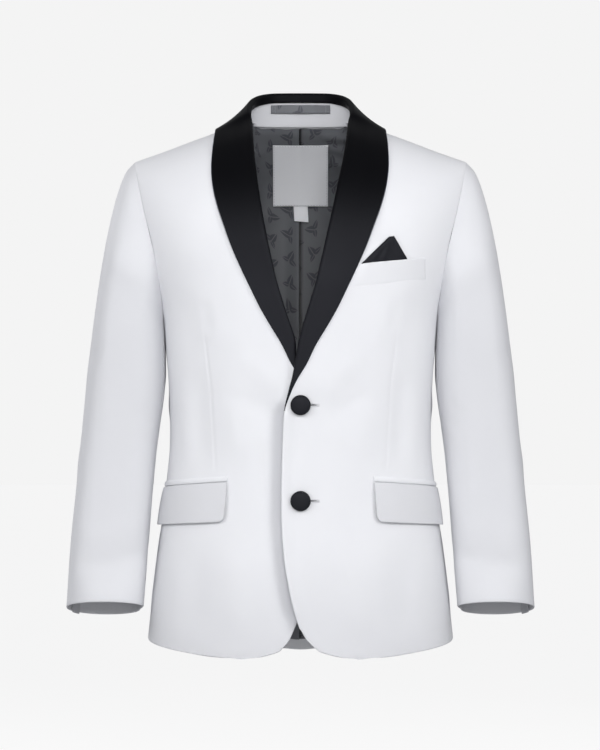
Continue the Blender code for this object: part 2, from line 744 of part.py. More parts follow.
def build_loop(lining):
    """The hanging loop, a band of lining sewn to the stand at both ends."""
    lower, upper = stand_lines()
    middle = (lower * 0.46 + upper * 0.54)[::-1]
    x = np.linspace(-LOOP_HALF_WIDTH, LOOP_HALF_WIDTH, 9)
    y = np.interp(np.abs(x), middle[:, 0], middle[:, 1])
    z = np.interp(np.abs(x), middle[:, 0], middle[:, 2])
    bow = LOOP_BOW * np.cos(x / LOOP_HALF_WIDTH * math.pi / 2)
    y = y - CLOTH_WALL / 2 - LAYER_GAP - SEAM_GAP - bow
    lines = [np.stack([x, y, z + up], axis=-1) for up in (-LOOP_HEIGHT / 2, LOOP_HEIGHT / 2)]
    cloth("hanger_loop", np.array(lines), (0, -1, 0), LINING_WALL, lining)


def build_lining(lining):
    """The back's lining, in two halves with a pleat at the centre: the right half laps over the left."""
    for side, hand in (("left", 1), ("right", -1)):
        net = back_net()
        net[0, :, 1] -= LINING_ABOVE_HEM / FALL_RADIUS * 2 / math.pi
        net[-1, :, 1] += SEAM_GAP / FALL_RADIUS * 4
        points, normals = trunk(net[..., 0], net[..., 1])
        lift = np.full(points.shape[:2], -(CLOTH_WALL + LAYER_GAP + SEAM_GAP / 2 + LINING_WALL))
        if side == "right":
            lift[:, 0] -= PLEAT_LIFT + LINING_WALL
            points[:, 0, 0] -= PLEAT_LAP
            lift[:, 1] -= PLEAT_LIFT * 0.4
        points = points + normals * lift[..., None]
        middle = normals[net.shape[0] // 2, net.shape[1] // 2]
        cloth(f"lining_back_{side}", points, middle, LINING_WALL, lining, hand)


def build_labels(label):
    lift = CLOTH_WALL + LINING_WALL * 2 + PLEAT_LIFT + LAYER_GAP * 2 + SEAM_GAP
    for name, (half_width, top, bottom) in LABELS.items():
        x, height = np.meshgrid(steps(-half_width, half_width, 4), steps(bottom, top, 4))
        turn, fall = place(np.abs(x), height, behind=True)
        points, normals = trunk(turn, fall)
        points = points - normals * lift
        points[..., 0] = x
        cloth(name, points, (0, -1, 0), LABEL_WALL, label)


def build_flaps(cloth_material):
    """A flap hanging from under a narrow jet, on both hips, across the seam to the side panel."""
    columns = np.array([0, 1.2, 3.2, 8, 15, 22, 29, 36, 43, 49, FLAP_TO - FLAP_FROM])
    columns = np.radians(columns + FLAP_FROM)
    share = (columns - columns[0]) / (columns[-1] - columns[0])
    top = FLAP_TOP[0] + (FLAP_TOP[1] - FLAP_TOP[0]) * share
    bottom = FLAP_BOTTOM[0] + (FLAP_BOTTOM[1] - FLAP_BOTTOM[0]) * share
    run = (columns - columns[0]) * 0.118
    inset = np.clip(1 - run / FLAP_CORNER, 0, 1)
    bottom = bottom + FLAP_CORNER * (1 - np.sqrt(1 - inset**2))
    for side, hand in (("left", 1), ("right", -1)):
        down = steps(1, 0, 4)[:, None]
        heights = top[None] * (1 - down) + bottom[None] * down
        turn, fall = trunk_places(columns, heights)
        points, normals = trunk(turn, fall)
        lift = front_lift(points, hand > 0) + LAYER_GAP + FLAP_STANDS_OFF * down[..., None]
        cloth(f"flap_{side}", points + normals * lift, normals[2, 5], FLAP_WALL, cloth_material, hand)
        low = top + SEAM_GAP * 1.5
        heights = np.stack([low, low + JET_HEIGHT])
        turn, fall = trunk_places(columns, heights)
        points, normals = trunk(turn, fall)
        lift = front_lift(points, hand > 0) + LAYER_GAP
        cloth(f"jet_{side}", points + normals * lift, normals[1, 5], JET_WALL, cloth_material, hand)


def trunk_places(turns, heights):
    """The (turn, fall) of points given by turn and height."""
    turns = np.broadcast_to(turns, heights.shape)
    x = smooth(TRUNK, 1, heights) * signed_power(np.sin(turns), 2 / SQUARENESS)
    return turns, fall_of(ridge(x) - heights)


def lapel_edge_x(height):
    rows = sorted((row[3], row[2]) for row in LAPEL)
    return np.interp(height, [row[0] for row in rows], [row[1] for row in rows])


def build_breast_pocket(cloth_material, satin):
    share = steps(0, 1, 6)
    top = WELT_TOP[0] + (WELT_TOP[1] - WELT_TOP[0]) * share
    bottom = WELT_BOTTOM[0] + (WELT_BOTTOM[1] - WELT_BOTTOM[0]) * share
    up = steps(0, 1, 2)[:, None]
    heights = bottom[None] * (1 - up) + top[None] * up
    clear = SATIN_WALL + LAYER_GAP
    start = lapel_edge_x(heights[:, :1]) + clear
    x = start * (1 - share[None]) + WELT_TO_X * share[None]
    points, normals = trunk(*place(x, heights))
    lift = front_lift(points, True) + LAYER_GAP
    cloth("breast_welt", points + normals * lift, normals[1, 3], WELT_WALL, cloth_material)

    base_x = np.concatenate([
        steps(SQUARE_LEFT_X, SQUARE_PEAK[0], 3),
        steps(SQUARE_PEAK[1], SQUARE_RIGHT_X, 2),
    ])
    base = np.interp(base_x, [x[-1, 0], WELT_TO_X], [heights[-1, 0], heights[-1, -1]]) + SEAM_GAP * 2
    corners = [SQUARE_LEFT_X, SQUARE_PEAK[0], SQUARE_PEAK[1], SQUARE_RIGHT_X]
    peak = np.interp(base_x, corners, [base[0] + 0.001, SQUARE_PEAK[2], SQUARE_PEAK[2], base[-1] + 0.001])
    rise = steps(0, 1, 3)[:, None]
    heights = base[None] * (1 - rise) + peak[None] * rise
    x = np.broadcast_to(base_x, heights.shape)
    points, normals = trunk(*place(x, heights))
    lift = front_lift(points, True) + LAYER_GAP
    cloth("pocket_square", points + normals * lift, normals[1, 3], SQUARE_WALL, satin)


def build_buttons(satin):
    """Covered buttons: a domed face over a rounded rim and a flat back, turned round -Y."""
    rim = BUTTON_THICKNESS * 0.55
    profile = [(0.0, BUTTON_THICKNESS)]
    for angle in np.radians((25, 50, 70, 90)):
        up = rim + (BUTTON_THICKNESS - rim) * math.cos(angle)
        profile.append((BUTTON_RADIUS * math.sin(angle), up))
    profile += [(BUTTON_RADIUS * 0.94, rim * 0.35), (BUTTON_RADIUS * 0.72, 0.0), (0.0, 0.0)]
    for name, height in BUTTON_HEIGHTS.items():
        mesh = bpy.data.meshes.new(name)
        points = [(radius, 0.0, up) for radius, up in profile]
        mesh.from_pydata(points, [(i, i + 1) for i in range(len(points) - 1)], [])
        mesh.materials.append(satin)
        obj = bpy.data.objects.new(name, mesh)
        jacket.objects.link(obj)
        turned = obj.modifiers.new("turned", "SCREW")
        turned.axis = "Z"
        turned.steps = turned.render_steps = 20
        turned.use_merge_vertices = True
        turned.merge_threshold = 0.0001
        turned.use_smooth_shade = True
        point, normal = trunk(*place(0.0, height))
        lift = float(lap(0.0, height)) + LAYER_GAP
        obj.rotation_euler = (math.radians(90), 0.0, 0.0)
        obj.location = point + normal * lift


def material(name, colour, roughness, sheen=0.0):
    made = bpy.data.materials.new(name)
    made.use_nodes = True
    shader = made.node_tree.nodes["Principled BSDF"]
    shader.inputs["Base Color"].default_value = (*colour, 1.0)
    shader.inputs["Roughness"].default_value = roughness
    shader.inputs["Metallic"].default_value = 0.0
    shader.inputs["Sheen Weight"].default_value = sheen
    return made


for old in list(bpy.data.objects):
    bpy.data.objects.remove(old, do_unlink=True)
jacket = bpy.data.collections.new("tuxedo_jacket")
bpy.context.scene.collection.children.link(jacket)

white_cloth = material("white suiting", (0.80, 0.80, 0.83), 0.85, 0.1)
black_satin = material("black satin", (0.008, 0.008, 0.010), 0.35)
grey_lining = material("grey lining", (0.075, 0.078, 0.085), 0.45)
label_satin = material("label satin", (0.50, 0.51, 0.55), 0.40)

build_trunk(white_cloth)
build_sleeves(white_cloth)
build_collar(black_satin, white_cloth)
build_loop(grey_lining)
build_lining(grey_lining)
build_labels(label_satin)
build_flaps(white_cloth)
build_breast_pocket(white_cloth, black_satin)
build_buttons(black_satin)
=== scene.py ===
# Boy's white tuxedo jacket with a black satin shawl collar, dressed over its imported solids.
# Metres, +Z up, front towards -Y, the wearer's left on +X.
import math

import bpy
import numpy as np
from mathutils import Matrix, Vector


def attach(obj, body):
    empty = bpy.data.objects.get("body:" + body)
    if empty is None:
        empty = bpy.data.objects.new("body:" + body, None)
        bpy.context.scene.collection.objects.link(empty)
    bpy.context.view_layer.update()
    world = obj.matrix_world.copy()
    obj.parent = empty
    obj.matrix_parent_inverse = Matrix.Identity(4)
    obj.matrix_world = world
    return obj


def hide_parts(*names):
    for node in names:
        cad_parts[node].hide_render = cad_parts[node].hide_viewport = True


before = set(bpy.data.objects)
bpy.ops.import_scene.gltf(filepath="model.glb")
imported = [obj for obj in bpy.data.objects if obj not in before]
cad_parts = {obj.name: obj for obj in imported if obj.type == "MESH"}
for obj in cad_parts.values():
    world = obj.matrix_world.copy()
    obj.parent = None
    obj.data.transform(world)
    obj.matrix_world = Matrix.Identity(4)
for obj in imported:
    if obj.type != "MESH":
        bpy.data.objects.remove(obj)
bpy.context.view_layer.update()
print("frame loaded:", len(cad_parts), "nodes")

hands = (("left", 1), ("right", -1))

body = {
    "squareness": 2.5,  # |x / halfWidth| ** squareness + |y / depth| ** squareness = 1
    "rings": (
        # height, halfWidth, frontDepth, backDepth
        (-0.5, 0.1394, 0.0945, 0.095),
        (-0.458, 0.1362, 0.093, 0.092),
        (-0.4, 0.1294, 0.0905, 0.088),
        (-0.361, 0.1242, 0.0885, 0.0835),
        (-0.323, 0.12, 0.087, 0.079),
        (-0.289, 0.117, 0.0865, 0.076),
        (-0.248, 0.1171, 0.088, 0.077),
        (-0.21, 0.12, 0.0905, 0.0815),
        (-0.168, 0.1248, 0.092, 0.086),
        (-0.125, 0.1385, 0.092, 0.088),
        (-0.08, 0.151, 0.0905, 0.087),
        (-0.04, 0.16, 0.0875, 0.0845),
        (0.0, 0.164, 0.084, 0.081),
        (0.04, 0.165, 0.082, 0.079),
    ),
    "shoulder": (
        # x, ridge, frontRoof, backRoof
        (0.0, 0.0226, 0.13, 0.1),
        (0.02, 0.019, 0.13, 0.1),
        (0.035, 0.012, 0.13, 0.1),
        (0.045, 0.0056, 0.13, 0.1),
        (0.051, 0.0013, 0.129, 0.099),
        (0.06, -0.0022, 0.126, 0.098),
        (0.08, -0.0095, 0.118, 0.094),
        (0.1, -0.0169, 0.109, 0.09),
        (0.125, -0.0263, 0.098, 0.085),
        (0.1485, -0.0344, 0.088, 0.08),
        (0.175, -0.044, 0.08, 0.076),
    ),
    "shoulderTipX": 0.1485,
    "neckPointX": 0.0500,
    "fallRadius": 0.100,
    "corner": 0.035,  # how much further out the pressed front stands where it turns to the side
    "cornerAt": 60.0,  # degrees of turn
    "cornerWide": 17.0,
    "cornerFade": (0.125, 0.230),  # below the shoulder
    "clothWall": 0.0020,  # of the solids that carry the pieces
    "hem": (
        # turn in degrees, height
        (0.0, -0.4718), (15.0, -0.4718), (27.0, -0.4714), (45.0, -0.4675), (64.0, -0.4631),
        (90.0, -0.4606), (115.0, -0.464), (150.0, -0.4755), (180.0, -0.482),
    ),
}

armhole = {
    "bottom": -0.168,
    "tipInset": 24.8,  # degrees of turn away from the side
    "frontInset": 26.0,
    "backInset": 28.0,
    "insetPower": 1.15,
    "step": 15,
    "frontSeamAt": 150,  # degrees round the armhole from the shoulder tip
    "backSeamAt": 225,
    "shoulderAt": 360,
}

frontEdge = {
    "edge": (
        # x towards the piece's own side, height
        (0.047, -0.4718), (0.0337, -0.4706), (0.0191, -0.4668), (0.0125, -0.4625), (0.0056, -0.456),
        (0.0006, -0.4475), (-0.003, -0.4395), (-0.0062, -0.4284), (-0.01, -0.4119), (-0.0142, -0.385),
        (-0.0163, -0.355), (-0.0165, -0.325), (-0.0158, -0.295), (-0.0147, -0.266), (-0.013, -0.2525),
    ),
    "underShift": (
        # height, how much further out the front that lies under ends
        (-0.4718, 0.0), (-0.464, 0.0023), (-0.4588, 0.0037), (-0.4403, 0.0056), (-0.405, 0.003),
        (-0.36, 0.0), (-0.3, 0.0), (-0.25, 0.0018), (-0.06, 0.0018), (-0.02, 0.0), (0.02, 0.0),
    ),
    "underRoll": (
        # height, how much further out its lapel rolls
        (-0.232, 0.0), (-0.223, 0.0034), (-0.2137, 0.005), (-0.2045, 0.0036), (-0.196, 0.003),
        (-0.182, 0.0036), (-0.16, 0.004), (-0.12, 0.0039), (-0.079, 0.0034), (-0.03, 0.002),
        (0.005, 0.0006),
    ),
    "buttonHeights": {"button_upper": -0.2519, "button_lower": -0.3353},
    "lapAtLapel": 0.0022,
    "lapAtButtons": 0.0015,
    "lapFullX": 0.022,
    "lapNoneX": 0.062,
    "lapRises": (-0.290, -0.255),  # heights
    "lapFades": (-0.150, -0.110),
    "lapelFoot": (-0.262, -0.246),
    "pastFoot": ((-0.0106, -0.2420), (-0.0049, -0.2270)),  # x and height, on up the lapel
}

lapel = {
    "stations": (
        # rollX, rollZ, edgeX, edgeZ, innerLeg, wrap in degrees, share of the roll's radius
        (-0.0137, -0.2566, -0.0136, -0.2565, 0.0001, 90.0, 0.1),
        (-0.0128, -0.252, -0.0122, -0.2517, 0.0002, 90.0, 0.2),
        (-0.0103, -0.2433, -0.0087, -0.2425, 0.0002, 90.0, 0.36),
        (-0.0076, -0.2346, -0.0048, -0.2338, 0.0002, 90.0, 0.52),
        (-0.0049, -0.227, -0.001, -0.227, 0.0002, 90.0, 0.74),
        (-0.0018, -0.212, 0.0062, -0.2155, 0.0002, 90.0, 0.9),
        (0.0014, -0.196, 0.0142, -0.1995, 0.0002, 90.0, 1.0),
        (0.0056, -0.18, 0.0232, -0.1845, 0.0004, 105.0, 1.0),
        (0.0108, -0.163, 0.032, -0.169, 0.0015, 150.0, 1.0),
        (0.0161, -0.145, 0.0405, -0.1515, 0.0035, 180.0, 1.0),
        (0.0203, -0.127, 0.049, -0.1335, 0.005, 180.0, 1.0),
        (0.0245, -0.109, 0.0572, -0.115, 0.0055, 180.0, 1.0),
        (0.0285, -0.091, 0.0643, -0.096, 0.006, 180.0, 1.0),
        (0.0325, -0.073, 0.0708, -0.0775, 0.0065, 180.0, 1.0),
        (0.0365, -0.054, 0.0752, -0.06, 0.007, 180.0, 1.0),
        (0.0405, -0.035, 0.0773, -0.043, 0.006, 180.0, 1.0),
        (0.0437, -0.015, 0.0772, -0.026, 0.004, 180.0, 1.0),
        (0.0458, 0.0, 0.0762, -0.0135, 0.0024, 180.0, 1.0),
    ),
    "stand": (
        # rollX, rollY, rollZ, seamX, seamZ, edgeX, edgeDrop (minus behind), innerLeg
        (0.047, -0.014, 0.0066, 0.0484, 0.0016, 0.0752, 0.0008, 0.003),
        (0.0463, 0.002, 0.0148, 0.0498, 0.0021, 0.0728, -0.0008, 0.0036),
        (0.0433, 0.016, 0.021, 0.0462, 0.0024, 0.067, -0.0052, 0.0052),
        (0.037, 0.028, 0.0255, 0.039, 0.0029, 0.0555, -0.0112, 0.006),
        (0.027, 0.0375, 0.0281, 0.028, 0.0035, 0.039, -0.019, 0.006),
        (0.014, 0.044, 0.0291, 0.0143, 0.0039, 0.02, -0.0255, 0.0062),
        (0.0, 0.0465, 0.0294, 0.0, 0.004, 0.0, -0.0285, 0.0062),
    ),
    "rollRadius": 0.00295,
    "edgeLift": 0.0014,
    "lifts": (-0.085, -0.045),  # heights
    "arcSteps": 6,
    "fallSteps": 5,
}


def column(table, index):
    return np.array([row[index] for row in table], float)


def softStep(first, leaving, last, arriving, s):
    # from first to last as s goes from 0 to 1, with the slopes at both ends
    return (
        first * (1 + 2 * s) * (1 - s) ** 2
        + leaving * s * (1 - s) ** 2
        + last * s**2 * (3 - 2 * s)
        + arriving * s**2 * (s - 1)
    )


def smooth(table, index, at):
    # one column of a table at any value of its first column, along a soft curve
    key = column(table, 0)
    values = column(table, index)
    slopes = np.gradient(values, key)
    at = np.clip(np.asarray(at, float), key[0], key[-1])
    low = np.clip(np.searchsorted(key, at, side="right") - 1, 0, len(key) - 2)
    width = key[low + 1] - key[low]
    s = (at - key[low]) / width
    return softStep(values[low], slopes[low] * width, values[low + 1], slopes[low + 1] * width, s)


def signedPower(value, power):
    return np.sign(value) * np.abs(value) ** power


def unit(vectors):
    return vectors / np.maximum(np.linalg.norm(vectors, axis=-1, keepdims=True), 1e-12)


def ease(value, start, end):
    s = np.clip((np.asarray(value, float) - start) / (end - start), 0.0, 1.0)
    return s * s * (3 - 2 * s)


def bell(away):
    return np.exp(-(away**2))


def steps(start, end, count):
    return np.linspace(start, end, count + 1)


def between(ends, share):
    return ends[0] * (1 - share) + ends[1] * share


def moved(points, normals, by):
    return points + normals * np.asarray(by)[..., None]


def mirrored(points, hand):
    return points * np.array([hand, 1.0, 1.0])


def dropOf(fall):
    fall = np.asarray(fall, float)
    over = 1 - np.cos(np.clip(fall, 0, 1) * math.pi / 2)
    return body["fallRadius"] * (over + np.maximum(fall - 1, 0) * math.pi / 2)


def fallOf(drop):
    drop = np.maximum(np.asarray(drop, float), 0.0) / body["fallRadius"]
    over = np.arccos(1 - np.minimum(drop, 1)) * 2 / math.pi
    return over + np.maximum(drop - 1, 0) * 2 / math.pi


def ridge(x):
    return smooth(body["shoulder"], 1, np.abs(x))


def xAt(turn, height):
    return smooth(body["rings"], 1, height) * signedPower(np.sin(turn), 2 / body["squareness"])


def trunkBare(turn, fall):
    # the garment's body at a turn (0 centre front, pi centre back) and a fall below the shoulder line
    drop = dropOf(fall)
    height = np.full(np.broadcast(turn, fall).shape, -0.1)
    for _ in range(8):  # the height settles in a few rounds
        x = xAt(turn, height)
        height = ridge(x) - drop
    cosine = np.cos(turn)
    depth, roof = (
        np.where(cosine >= 0, smooth(body[name], 2, at), smooth(body[name], 3, at))
        for name, at in (("rings", height), ("shoulder", np.abs(x)))
    )
    rounding = np.sqrt(1 - (1 - np.minimum(drop / roof, 1)) ** 2)
    y = -signedPower(cosine, 2 / body["squareness"]) * depth * rounding
    away = (np.degrees(turn) - body["cornerAt"]) / body["cornerWide"]
    corner = 1 + body["corner"] * bell(away) * ease(-height, *body["cornerFade"])
    return np.stack(np.broadcast_arrays(x * corner, y * corner, height), axis=-1)


def trunk(turn, fall):
    # points of the body and their outward normals
    turn, fall = np.broadcast_arrays(np.asarray(turn, float), np.asarray(fall, float))
    step = 0.004
    along = trunkBare(turn + step, fall) - trunkBare(turn - step, fall)
    down = trunkBare(turn, fall + step) - trunkBare(turn, np.maximum(fall - step, 0))
    return trunkBare(turn, fall), unit(np.cross(down, along))


def place(x, height, behind=False):
    share = np.minimum(np.abs(x) / smooth(body["rings"], 1, height), 1.0)
    turn = np.arcsin(np.sign(x) * share ** (body["squareness"] / 2))
    return (math.pi - turn if behind else turn), fallOf(ridge(x) - height)


def placeAt(turn, height):
    turn = np.broadcast_to(turn, np.shape(height)).astype(float)
    return turn, fallOf(ridge(xAt(turn, height)) - height)


def hemPlace(turn):
    return placeAt(turn, smooth(body["hem"], 1, np.degrees(np.abs(turn))))


def armholePlace(angle):
    angle = np.radians(angle)
    up = np.cos(angle)
    across = np.abs(np.sin(angle))
    behind = np.sin(angle) < 0
    inset = np.where(behind, armhole["backInset"], armhole["frontInset"])
    upper = armhole["tipInset"] + (inset - armhole["tipInset"]) * across
    inset = np.radians(np.where(up > 0, upper, inset * across ** armhole["insetPower"]))
    height = between((armhole["bottom"], ridge(body["shoulderTipX"])), (1 + up) / 2)
    turn, fall = placeAt(math.pi / 2 + np.where(behind, inset, -inset), height)
    return turn, np.where(up > 0.9999, 0.0, fall)


def pairs(places):
    return np.stack(np.broadcast_arrays(*places), axis=-1)


def lengths(path):
    # the way along a line of points, from its start
    return np.concatenate([[0], np.cumsum(np.linalg.norm(np.diff(path, axis=0), axis=1))])


def shares(first, second):
    both = [lengths(trunkBare(boundary[:, 0], boundary[:, 1])) for boundary in (first, second)]
    return (both[0] / both[0][-1] + both[1] / both[1][-1]) / 2


def coons(left, right, bottom, top):
    across = shares(bottom, top)[None, :, None]
    up = shares(left, right)[:, None, None]
    corners = between((between((bottom[0], bottom[-1]), across), between((top[0], top[-1]), across)), up)
    sides = between((left[:, None], right[:, None]), across)
    return sides + between((bottom[None], top[None]), up) - corners


def relaxed(net, rounds):
    # spreads the inner places evenly, which opens the flat corner where hem and front edge meet
    for _ in range(rounds):
        around = (net[:-2, 1:-1] + net[2:, 1:-1] + net[1:-1, :-2] + net[1:-1, 2:]) / 4
        net[1:-1, 1:-1] = (net[1:-1, 1:-1] + around) / 2
    return net


def finer(net, perRow, perColumn):
    # a net with more rows and columns, along soft curves through the ones it has
    for axis, per in ((0, perRow), (1, perColumn)):
        net = np.moveaxis(net, axis, 0)
        slopes = np.gradient(net, axis=0)
        at = steps(0, len(net) - 1, (len(net) - 1) * per)
        low = np.minimum(at.astype(int), len(net) - 2)
        s = (at - low).reshape((-1,) + (1,) * (net.ndim - 1))
        net = np.moveaxis(softStep(net[low], slopes[low], net[low + 1], slopes[low + 1], s), 0, axis)
    return net


def frontLift(points, over):
    # the fronts part where they lap, and meet again towards the sides and up the lapels
    near = 1 - ease(np.abs(points[..., 0]), frontEdge["lapFullX"], frontEdge["lapNoneX"])
    height = points[..., 2]
    risen = ease(height, *frontEdge["lapRises"])
    full = between((frontEdge["lapAtButtons"], frontEdge["lapAtLapel"]), risen)
    return near * full * (1 - ease(height, *frontEdge["lapFades"])) * (1 if over else -1)


def underShift(height, over):
    return smooth(frontEdge["underShift"], 1, height) * (0.0 if over else 1.0)


def underRoll(height, over):
    return underShift(height, over) + smooth(frontEdge["underRoll"], 1, height) * (0.0 if over else 1.0)


finish = {}  # materials by name, filled below
labelFaces = {}  # of the small pieces that stitches lie on


def runs(points):
    # the way along the cloth, across from its first column and up from its first row
    across = np.linalg.norm(np.diff(points, axis=1), axis=2)
    across = np.concatenate([np.zeros((len(points), 1)), np.cumsum(across, axis=1)], axis=1)
    up = np.linalg.norm(np.diff(points, axis=0), axis=2).mean(axis=1)
    up = np.concatenate([[0.0], np.cumsum(up)])
    return across, np.broadcast_to(up[:, None], across.shape)


def gridNormals(points, outward):
    ways = [np.gradient(points, axis=axis, edge_order=2) for axis in (1, 0)]
    normals = unit(np.cross(*ways))
    r, c = points.shape[0] // 2, points.shape[1] // 2
    return normals if np.dot(normals[r, c], outward) > 0 else -normals


def rimWay(line, inner, normals):
    # square to an edge and along the cloth, away from it
    way = unit(np.cross(np.gradient(line, axis=0), normals))
    return way if np.sum(way * (line - inner)) > 0 else -way


def linked(name, data):
    obj = bpy.data.objects.new(name, data)
    bpy.context.scene.collection.objects.link(obj)
    return obj


def meshPiece(name, verts, faces, materials, flat=None):
    # flat is where each point lies on the cloth
    mesh = bpy.data.meshes.new(name)
    mesh.from_pydata(np.asarray(verts).tolist(), [], faces)
    for material in materials:
        mesh.materials.append(finish[material])
    if flat is not None:
        ids = np.zeros(len(mesh.loops), np.int32)
        mesh.loops.foreach_get("vertex_index", ids)
        mesh.uv_layers.new(name="cloth").data.foreach_set("uv", flat[ids].astype(np.float32).reshape(-1))
    mesh.shade_smooth()
    return linked(name, mesh)


def shell(
    name, points, outward, outside, wall, inside=None, edges="ffff", insideOf=None, hand=1, uv=None,
    rimOf=None, normals=None, tone=1.0,
):
    # a thin closed piece of cloth under a grid of points of its face. wall and tone may change over it; a
    # tone below 1 is painted shade, kept with the points as their shade share.
    # edges: bottom, right, top, left; f is a turned edge with a round rim, s is sewn to its neighbour in a
    # shallow groove, m meets it flush. insideOf gives the inner material's number for each cell.
    points = mirrored(np.array(points, float), hand)
    rows, columns = points.shape[:2]
    outward = mirrored(np.asarray(outward, float), hand)
    normals = gridNormals(points, outward) if normals is None else mirrored(normals, hand)
    half = np.broadcast_to(wall, (rows, columns))[..., None] / 2
    groove = 0.00022
    face = points.copy()
    ways = np.zeros((2, rows, columns, 3))  # out of turned edges: the sides, then bottom and top
    rims = (np.s_[0], np.s_[:, -1], np.s_[-1], np.s_[:, 0])
    inners = (np.s_[1], np.s_[:, -2], np.s_[-2], np.s_[:, 1])
    for number, (kind, rim, inner) in enumerate(zip(edges, rims, inners)):
        if kind == "s":
            face[rim] -= normals[rim] * groove
        elif kind == "f":
            ways[(number + 1) % 2][rim] = rimWay(points[rim], points[inner], normals[rim])
    way = (ways[0] + ways[1]) / np.maximum(1 + np.sum(ways[0] * ways[1], axis=-1, keepdims=True), 0.3)
    face -= way * half
    back = face - normals * half * 2
    count = rows * columns
    grid = np.arange(count).reshape(rows, columns)
    ids = np.concatenate([grid[0], grid[1:, -1], grid[-1, -2::-1], grid[-2:0:-1, 0]])
    sideOf = np.repeat(list("brtl"), [columns, rows - 1, columns - 1, rows - 2])
    around = len(ids)
    across, up = points[1, 1] - points[1, 0], points[1, 0] - points[0, 0]
    turnedOver = np.dot(np.cross(across, up), normals[1, 1]) < 0
    face, back = face.reshape(-1, 3), back.reshape(-1, 3)
    along, out, half = (values.reshape(count, -1)[ids] for values in (normals, way, half))
    middle = [
        (face[ids] + back[ids]) / 2 + half * (along * math.cos(turn) + out * math.sin(turn))
        for turn in np.radians((45, 90, 135))
    ]
    cells = np.stack([grid[:-1, :-1], grid[:-1, 1:], grid[1:, 1:], grid[1:, :-1]], axis=-1).reshape(-1, 4)
    chain = [ids] + [2 * count + k * around + np.arange(around) for k in range(3)] + [ids + count]
    strips = [np.stack([a, b, np.roll(b, -1), np.roll(a, -1)], axis=-1) for a, b in zip(chain, chain[1:])]
    faces = np.concatenate([cells, cells[:, ::-1] + count, *strips])
    if turnedOver:
        faces = faces[:, ::-1]
    inside = inside if isinstance(inside, tuple) else (inside or outside,)
    flat = np.stack([np.ravel(values) for values in (runs(points) if uv is None else uv)], axis=-1)
    obj = meshPiece(
        name, np.concatenate([face, back, *middle]), faces.tolist(), (outside, *inside),
        np.concatenate([flat, flat, np.tile(flat[ids], (3, 1))]),
    )
    numbers = np.zeros(len(faces), np.int32)
    numbers[len(cells):2 * len(cells)] = 1 if insideOf is None else insideOf.reshape(-1)
    for side, number in (rimOf or {}).items():  # a rim in another cloth
        numbers[2 * len(cells):].reshape(4, around)[:, sideOf == side] = number
    mesh = obj.data
    mesh.polygons.foreach_set("material_index", numbers)
    shade = 1 - np.broadcast_to(tone, (rows, columns)).reshape(-1)
    shade = np.concatenate([shade, shade, np.tile(shade[ids], 3)]).astype(np.float32)
    mesh.attributes.new("shade", "FLOAT", "POINT").data.foreach_set("value", shade)
    mesh.set_sharp_from_angle(angle=math.radians(60))
    mesh.validate()
    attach(obj, "root")
    return obj


def cut(name, node, points, outward, look, cloth, restsOn=(), **how):
    # a piece of cloth that stands for a solid. Its flat size is of what shows, and its share is the part of
    # that rectangle that the cut fills.
    how.setdefault("wall", look.get("wall"))
    piece = shell(name, points, outward, cloth, **how)
    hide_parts(node)
    list(restsOn)


def besideLine(across, up, line):
    # how far above a line each place is, and how far along it
    fromAcross, fromUp, toAcross, toUp = line
    da, du = toAcross - fromAcross, toUp - fromUp
    length = math.hypot(da, du)
    along = ((across - fromAcross) * da + (up - fromUp) * du) / length**2
    return ((up - fromUp) * da - (across - fromAcross) * du) / length, along


foldEnds = {"begins": (-0.10, 0.30), "ends": (0.70, 1.10)}  # shares of a fold's length


def creases(across, up, folds):
    # soft ridges (depth > 0) and troughs laid between two ends, in any two ways along the cloth
    offset = np.zeros(np.shape(across))
    for *line, width, depth in folds:
        above, along = besideLine(across, up, line)
        fade = ease(along, *foldEnds["begins"]) * (1 - ease(along, *foldEnds["ends"]))
        offset = offset + depth * fade * bell(above / width)
    return offset


def put(tree, socket, value):
    if isinstance(value, bpy.types.NodeSocket):
        tree.links.new(value, socket)
    else:
        socket.default_value = value


def addNode(tree, kind, values=(), **settings):
    node = tree.nodes.new("ShaderNode" + kind)
    for key, value in settings.items():
        setattr(node, key, value)
    for key, value in dict(values).items():
        put(tree, node.inputs[key], value)
    return node


def math2(tree, kind, *values):
    return addNode(tree, "Math", enumerate(values), operation=kind).outputs[0]


def clothUv(tree, scale=(1000.0, 1000.0, 1000.0), turn=0.0):
    # the cloth's own ways, in millimetres by default
    source = addNode(tree, "UVMap", uv_map="cloth").outputs["UV"]
    values = {"Vector": source, "Scale": scale, "Rotation": (0.0, 0.0, math.radians(turn))}
    return addNode(tree, "Mapping", values).outputs["Vector"]


def noiseOf(tree, vector, scale, detail=3.0):
    values = {"Vector": vector, "Scale": scale, "Detail": detail, "Roughness": 0.55}
    return addNode(tree, "TexNoise", values).outputs["Fac"]


def clothNoise(tree, scale, detail=2.0):
    return noiseOf(tree, clothUv(tree, scale), 1.0, detail)


def mixColours(tree, share, first, second):
    first, second = ((*value, 1.0) if isinstance(value, tuple) else value for value in (first, second))
    return addNode(tree, "Mix", {0: share, 6: first, 7: second}, data_type="RGBA").outputs[2]


def withPaintedShade(tree, colour, paintedShadeColour):
    # painted shade: the colour is mixed towards its painted shade colour by the shade share its points
    # carry
    shade = addNode(tree, "Attribute", attribute_name="shade").outputs["Fac"]
    return mixColours(tree, shade, colour, paintedShadeColour)


def newMaterial(name):
    made = bpy.data.materials.new(name)
    made.use_nodes = True
    return made, made.node_tree


def setShader(tree, height, depth, strength, values):
    # fine relief, and the shader's other sockets
    bump = addNode(tree, "Bump", {"Height": height, "Distance": depth, "Strength": strength})
    for key, value in {**values, "Normal": bump.outputs["Normal"]}.items():
        put(tree, tree.nodes["Principled BSDF"].inputs[key], value)


